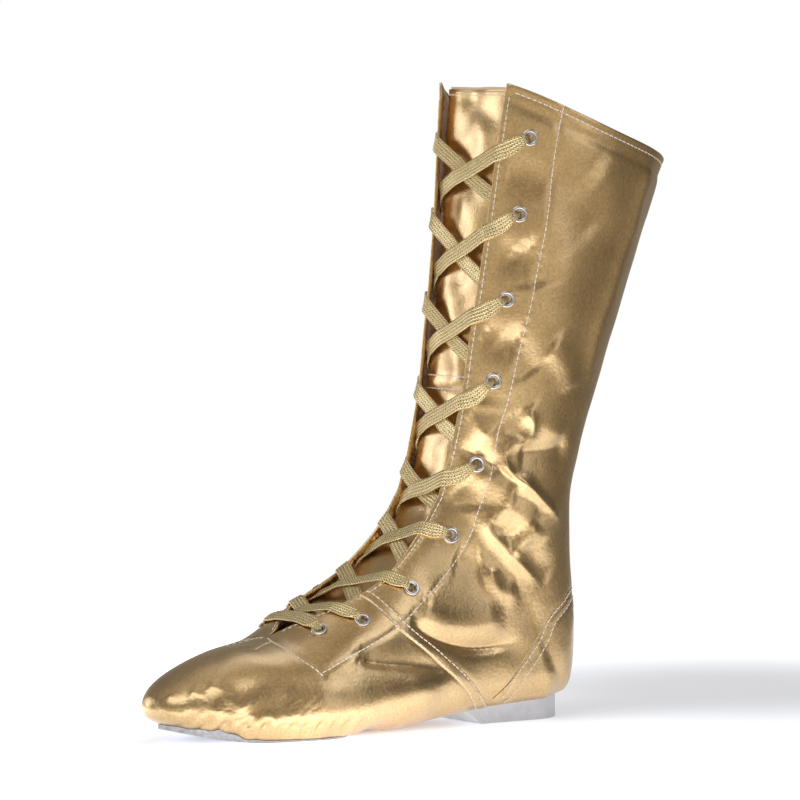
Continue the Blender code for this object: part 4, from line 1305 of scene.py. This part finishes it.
def thread():
    finish = Finish("cream_thread", Roughness=0.55, Sheen_Weight=0.3)
    finish.colour(finish.noise(700.0), CREAM)
    finish.bump(finish.noise(3200.0), 0.08, 0.7)
    return finish.material


def steel():
    finish = Finish("eyelet_steel", Metallic=1.0, Base_Color=STEEL_COLOUR)
    finish.drive("Roughness", finish.span(finish.noise(900.0, 3.0), 0.12, 0.30))
    finish.bump(finish.noise(1800.0), 0.03, 0.5)
    return finish.material


def suede():
    finish = Finish("sole_suede", Roughness=0.92, Sheen_Weight=0.4)
    finish.colour(finish.noise(420.0, 4.0), SUEDE_GREY)
    finish.bump(finish.noise(1500.0, 4.0, 0.7), 0.3, 0.9)
    return finish.material


def foam():
    finish = Finish("heel_foam", Roughness=0.7)
    finish.colour(finish.noise(160.0, 4.0), FOAM_GREY)
    finish.bump(finish.noise(1300.0, 3.0), 0.12, 0.7)
    return finish.material


def cloth():
    """Lining cloth: a fine plain weave in pale peach."""
    finish = Finish("lining_cloth", Roughness=0.9, Sheen_Weight=0.3)
    finish.colour(finish.noise(90.0, 3.0), PEACH)
    for axis in ("X", "Y", "Z"):
        inputs = {"Vector": finish.place, "Scale": 320.0, "Distortion": 0.6}
        wave = finish.node("TexWave", inputs, bands_direction=axis)
        finish.bump(wave.outputs["Fac"], 0.06, 0.4)
    return finish.material


# Camera, floor and light, in metres

VIEW_AZIMUTH = math.radians(145.0)
VIEW_ELEVATION = 3.4
VIEW_DISTANCE = 3.0
VIEW_AIM = Vector((0.0017, -0.0012, 0.1625))
VIEW_LENS = 270.0
VIEW_END = 100.0

# The floor's edges, from the boot towards the camera, away from it, to the left and to the right
FLOOR_FRONT = 0.55
FLOOR_BACK = 0.62
FLOOR_LEFT = 0.60
FLOOR_RIGHT = 0.30
FLOOR_COLOUR = (0.90, 0.90, 0.91, 1.0)
# The floor glows though it is no lamp: painted light that lights the boot and shows in its reflections, in a
# slightly cool colour
FLOOR_PAINTED_GLOW = (0.95, 0.99, 1.08, 1.0)

# Painted shadow on the floor: its glow is least at a spot behind the boot and to the right, where the boot's
# shadow falls, and grows with distance from it. The spot is given towards the camera and to the right.
PAINTED_SHADOW_CENTRE = (-0.16, 0.17)
PAINTED_SHADOW_REACH = (0.04, 0.37)
PAINTED_SHADOW_LEVELS = (0.58, 2.4)

# Painted contact shade: the glow is dimmed in a long patch under the boot. It is also dimmed towards both
# sides: stops from left to right, and levels
CONTACT_SHADE_CENTRE = (0.06, 0.0, 0.0)
CONTACT_SHADE_SHAPE = (1.0, 3.0, 1.0)
CONTACT_SHADE_REACH = 0.27
CONTACT_SHADE_GLOW = 0.06
# Painted light: the side levels set how bright the boot's reflections of the glowing floor are on each side
SIDE_REACH = 0.30
SIDE_PAINTED_GLOW = ((0.0, 0.40), (0.25, 0.62), (0.44, 1.0), (0.62, 0.60), (1.0, 0.50))

# The room's light by height, from the horizon to overhead, and the direction in which it is darker
ROOM_COLOUR = (1.08, 1.0, 0.86)
ROOM_LEVELS = {0.0: 0.52, 0.10: 0.47, 0.32: 0.21, 0.62: 0.20, 0.85: 0.34, 1.0: 0.40}
DARK_SIDE = 118.0
DARK_SHARE = 0.30
WHITE = (1.0, 1.0, 1.0, 1.0)

# Lamps: degrees to the right of the camera's side and above the floor, distance, width and height, and power
Lamp = namedtuple("Lamp", "azimuth elevation distance size power")
LAMPS = {
    "key": Lamp(-38.0, 50.0, 1.9, (1.5, 1.2), 9.0),
    "left_panel": Lamp(-114.0, 10.0, 1.9, (0.7, 0.6), 3.4),
    "right_panel": Lamp(52.0, 18.0, 2.2, (1.0, 1.5), 3.4),
    "right_key": Lamp(78.0, 46.0, 1.9, (0.9, 0.6), 3.2),
    "back_panel": Lamp(172.0, 55.0, 1.9, (1.2, 0.9), 3.0),
}
LAMP_COLOUR = (0.93, 0.98, 1.09)
LAMP_AIM = Vector((0.0, 0.0, 0.15))


def outward_from_view(azimuth, elevation):
    """A direction from the boot, by degrees to the right of the camera's side and above the floor."""
    turn = VIEW_AZIMUTH + math.radians(azimuth)
    up = math.radians(elevation)
    return Vector((math.sin(turn) * math.cos(up), -math.cos(turn) * math.cos(up), math.sin(up)))


def set_up(name, data, location, away):
    """Adds a camera or lamp that looks along its own -Z, with its back turned to a direction."""
    made = bpy.data.objects.new(name, data)
    bpy.context.scene.collection.objects.link(made)
    made.location = location
    made.rotation_mode = "QUATERNION"
    made.rotation_quaternion = away.to_track_quat("Z", "Y")
    return made


def make_camera():
    data = bpy.data.cameras.new("camera")
    data.lens = VIEW_LENS
    data.clip_end = VIEW_END
    away = outward_from_view(0.0, VIEW_ELEVATION)
    bpy.context.scene.camera = set_up("camera", data, VIEW_AIM + VIEW_DISTANCE * away, away)


def make_light(name, lamp):
    data = bpy.data.lights.new(name, "AREA")
    data.shape = "RECTANGLE"
    data.size, data.size_y = lamp.size
    data.energy = lamp.power
    data.color = LAMP_COLOUR
    away = outward_from_view(lamp.azimuth, lamp.elevation)
    set_up(name, data, LAMP_AIM + lamp.distance * away, away)


def make_floor():
    """Painted light: a white sheet that glows, with painted shade under the boot, a painted shadow behind it
    to the right, and less glow at both sides.
    """
    ahead = outward_from_view(0.0, 0.0)
    aside = outward_from_view(90.0, 0.0)
    left, right = -FLOOR_LEFT * aside, FLOOR_RIGHT * aside
    front, back = FLOOR_FRONT * ahead, -FLOOR_BACK * ahead
    mesh = bpy.data.meshes.new("floor")
    mesh.from_pydata([back + left, front + left, front + right, back + right], [], [(0, 1, 2, 3)])
    floor = bpy.data.objects.new("floor", mesh)
    bpy.context.scene.collection.objects.link(floor)
    finish = Finish(
        "white_floor", Base_Color=FLOOR_COLOUR, Roughness=0.35, Specular_IOR_Level=0.25,
        Emission_Color=FLOOR_PAINTED_GLOW,
    )
    # Painted shadow: the glow is least where the boot's shadow falls, behind it and to the right
    centre = PAINTED_SHADOW_CENTRE[0] * ahead + PAINTED_SHADOW_CENTRE[1] * aside
    distance = finish.vector("DISTANCE", finish.place, centre)["Value"]
    glow = finish.span(distance, *PAINTED_SHADOW_LEVELS, *PAINTED_SHADOW_REACH, interpolation_type="SMOOTHSTEP")
    # Painted contact shade: the glow is dimmed in a long patch under the boot
    long = finish.vector("MULTIPLY", finish.place, CONTACT_SHADE_SHAPE)["Vector"]
    under = finish.vector("DISTANCE", long, CONTACT_SHADE_CENTRE)["Value"]
    painted_contact_shade = finish.span(under, CONTACT_SHADE_GLOW, 1.0, 0.0, CONTACT_SHADE_REACH, interpolation_type="SMOOTHSTEP")
    # Painted light: the glow falls off towards both sides, which sets the brightness of the floor's
    # reflections in the boot
    rightward = finish.vector("DOT_PRODUCT", finish.place, aside)["Value"]
    share = finish.span(rightward, 0.0, 1.0, -SIDE_REACH, SIDE_REACH)
    fading = finish.ramp(share, *((stop, (level, level, level)) for stop, level in SIDE_PAINTED_GLOW))
    shine = finish.math("MULTIPLY", glow, painted_contact_shade)
    finish.drive("Emission Strength", finish.math("MULTIPLY", shine, fading))
    mesh.materials.append(finish.material)


def make_world():
    """White to the camera; to the boot, a room with a dark band above the horizon and a dark side."""
    world = bpy.data.worlds.new("studio")
    world.use_nodes = True
    bpy.context.scene.world = world
    studio = Nodes(world.node_tree)
    place = studio.node("TexCoord").outputs["Generated"]
    up = studio.node("SeparateXYZ", {"Vector": place}).outputs["Z"]
    levels = [(height, [level * share for share in ROOM_COLOUR]) for height, level in ROOM_LEVELS.items()]
    darkwards = studio.vector("DOT_PRODUCT", place, outward_from_view(DARK_SIDE, 0.0))["Value"]
    room = studio.tree.nodes["Background"]
    studio.feed(room.inputs["Color"], studio.ramp(up, *levels))
    studio.feed(room.inputs["Strength"], studio.span(darkwards, 1.0, DARK_SHARE))
    white = studio.node("Background", {"Color": WHITE}).outputs["Background"]
    seen = studio.node("LightPath").outputs["Is Camera Ray"]
    mix = studio.node("MixShader", {"Fac": seen, 1: room.outputs["Background"], 2: white})
    studio.feed(studio.tree.nodes["World Output"].inputs["Surface"], mix.outputs["Shader"])


def main():
    bpy.context.scene.view_settings.view_transform = "Standard"
    make_camera()
    make_floor()
    make_world()
    for name, lamp in LAMPS.items():
        make_light(name, lamp)
    leather, lining, sewing = gold_leather(), cloth(), thread()
    raise_creases()
    sewn = stitch_lines()
    for rows in sewn.values():
        for line, _ in rows:
            raise_line(line, GROOVE, taper=0.0)
    spots = eyelet_spots()
    skin = make_skin(leather, [on_skin([spot])[0] for spot in spots.values()])
    tree = BVHTree.FromPolygons(
        [vertex.co / MM + Vector((MIDDLE, 0.0, 0.0)) for vertex in skin.data.vertices],
        [tuple(face.vertices) for face in skin.data.polygons],
    )
    make_lining(lining)
    make_counter(leather, tree)
    for name, side in SIDES.items():
        seam_strip(f"vamp_seam_{name}", side, leather)
    for name, rows in sewn.items():
        add_stitches(f"stitches_{name}", [stitches(line, lift) for line, lift in rows], sewing)
    make_eyelets(spots, steel())
    make_lace(gold_lace(), front_places(EYELET_PLACES))
    make_tongue(leather, lining, sewing)
    make_sole(suede(), tree)
    make_heel(foam(), tree)
    make_insole(lining)


main()
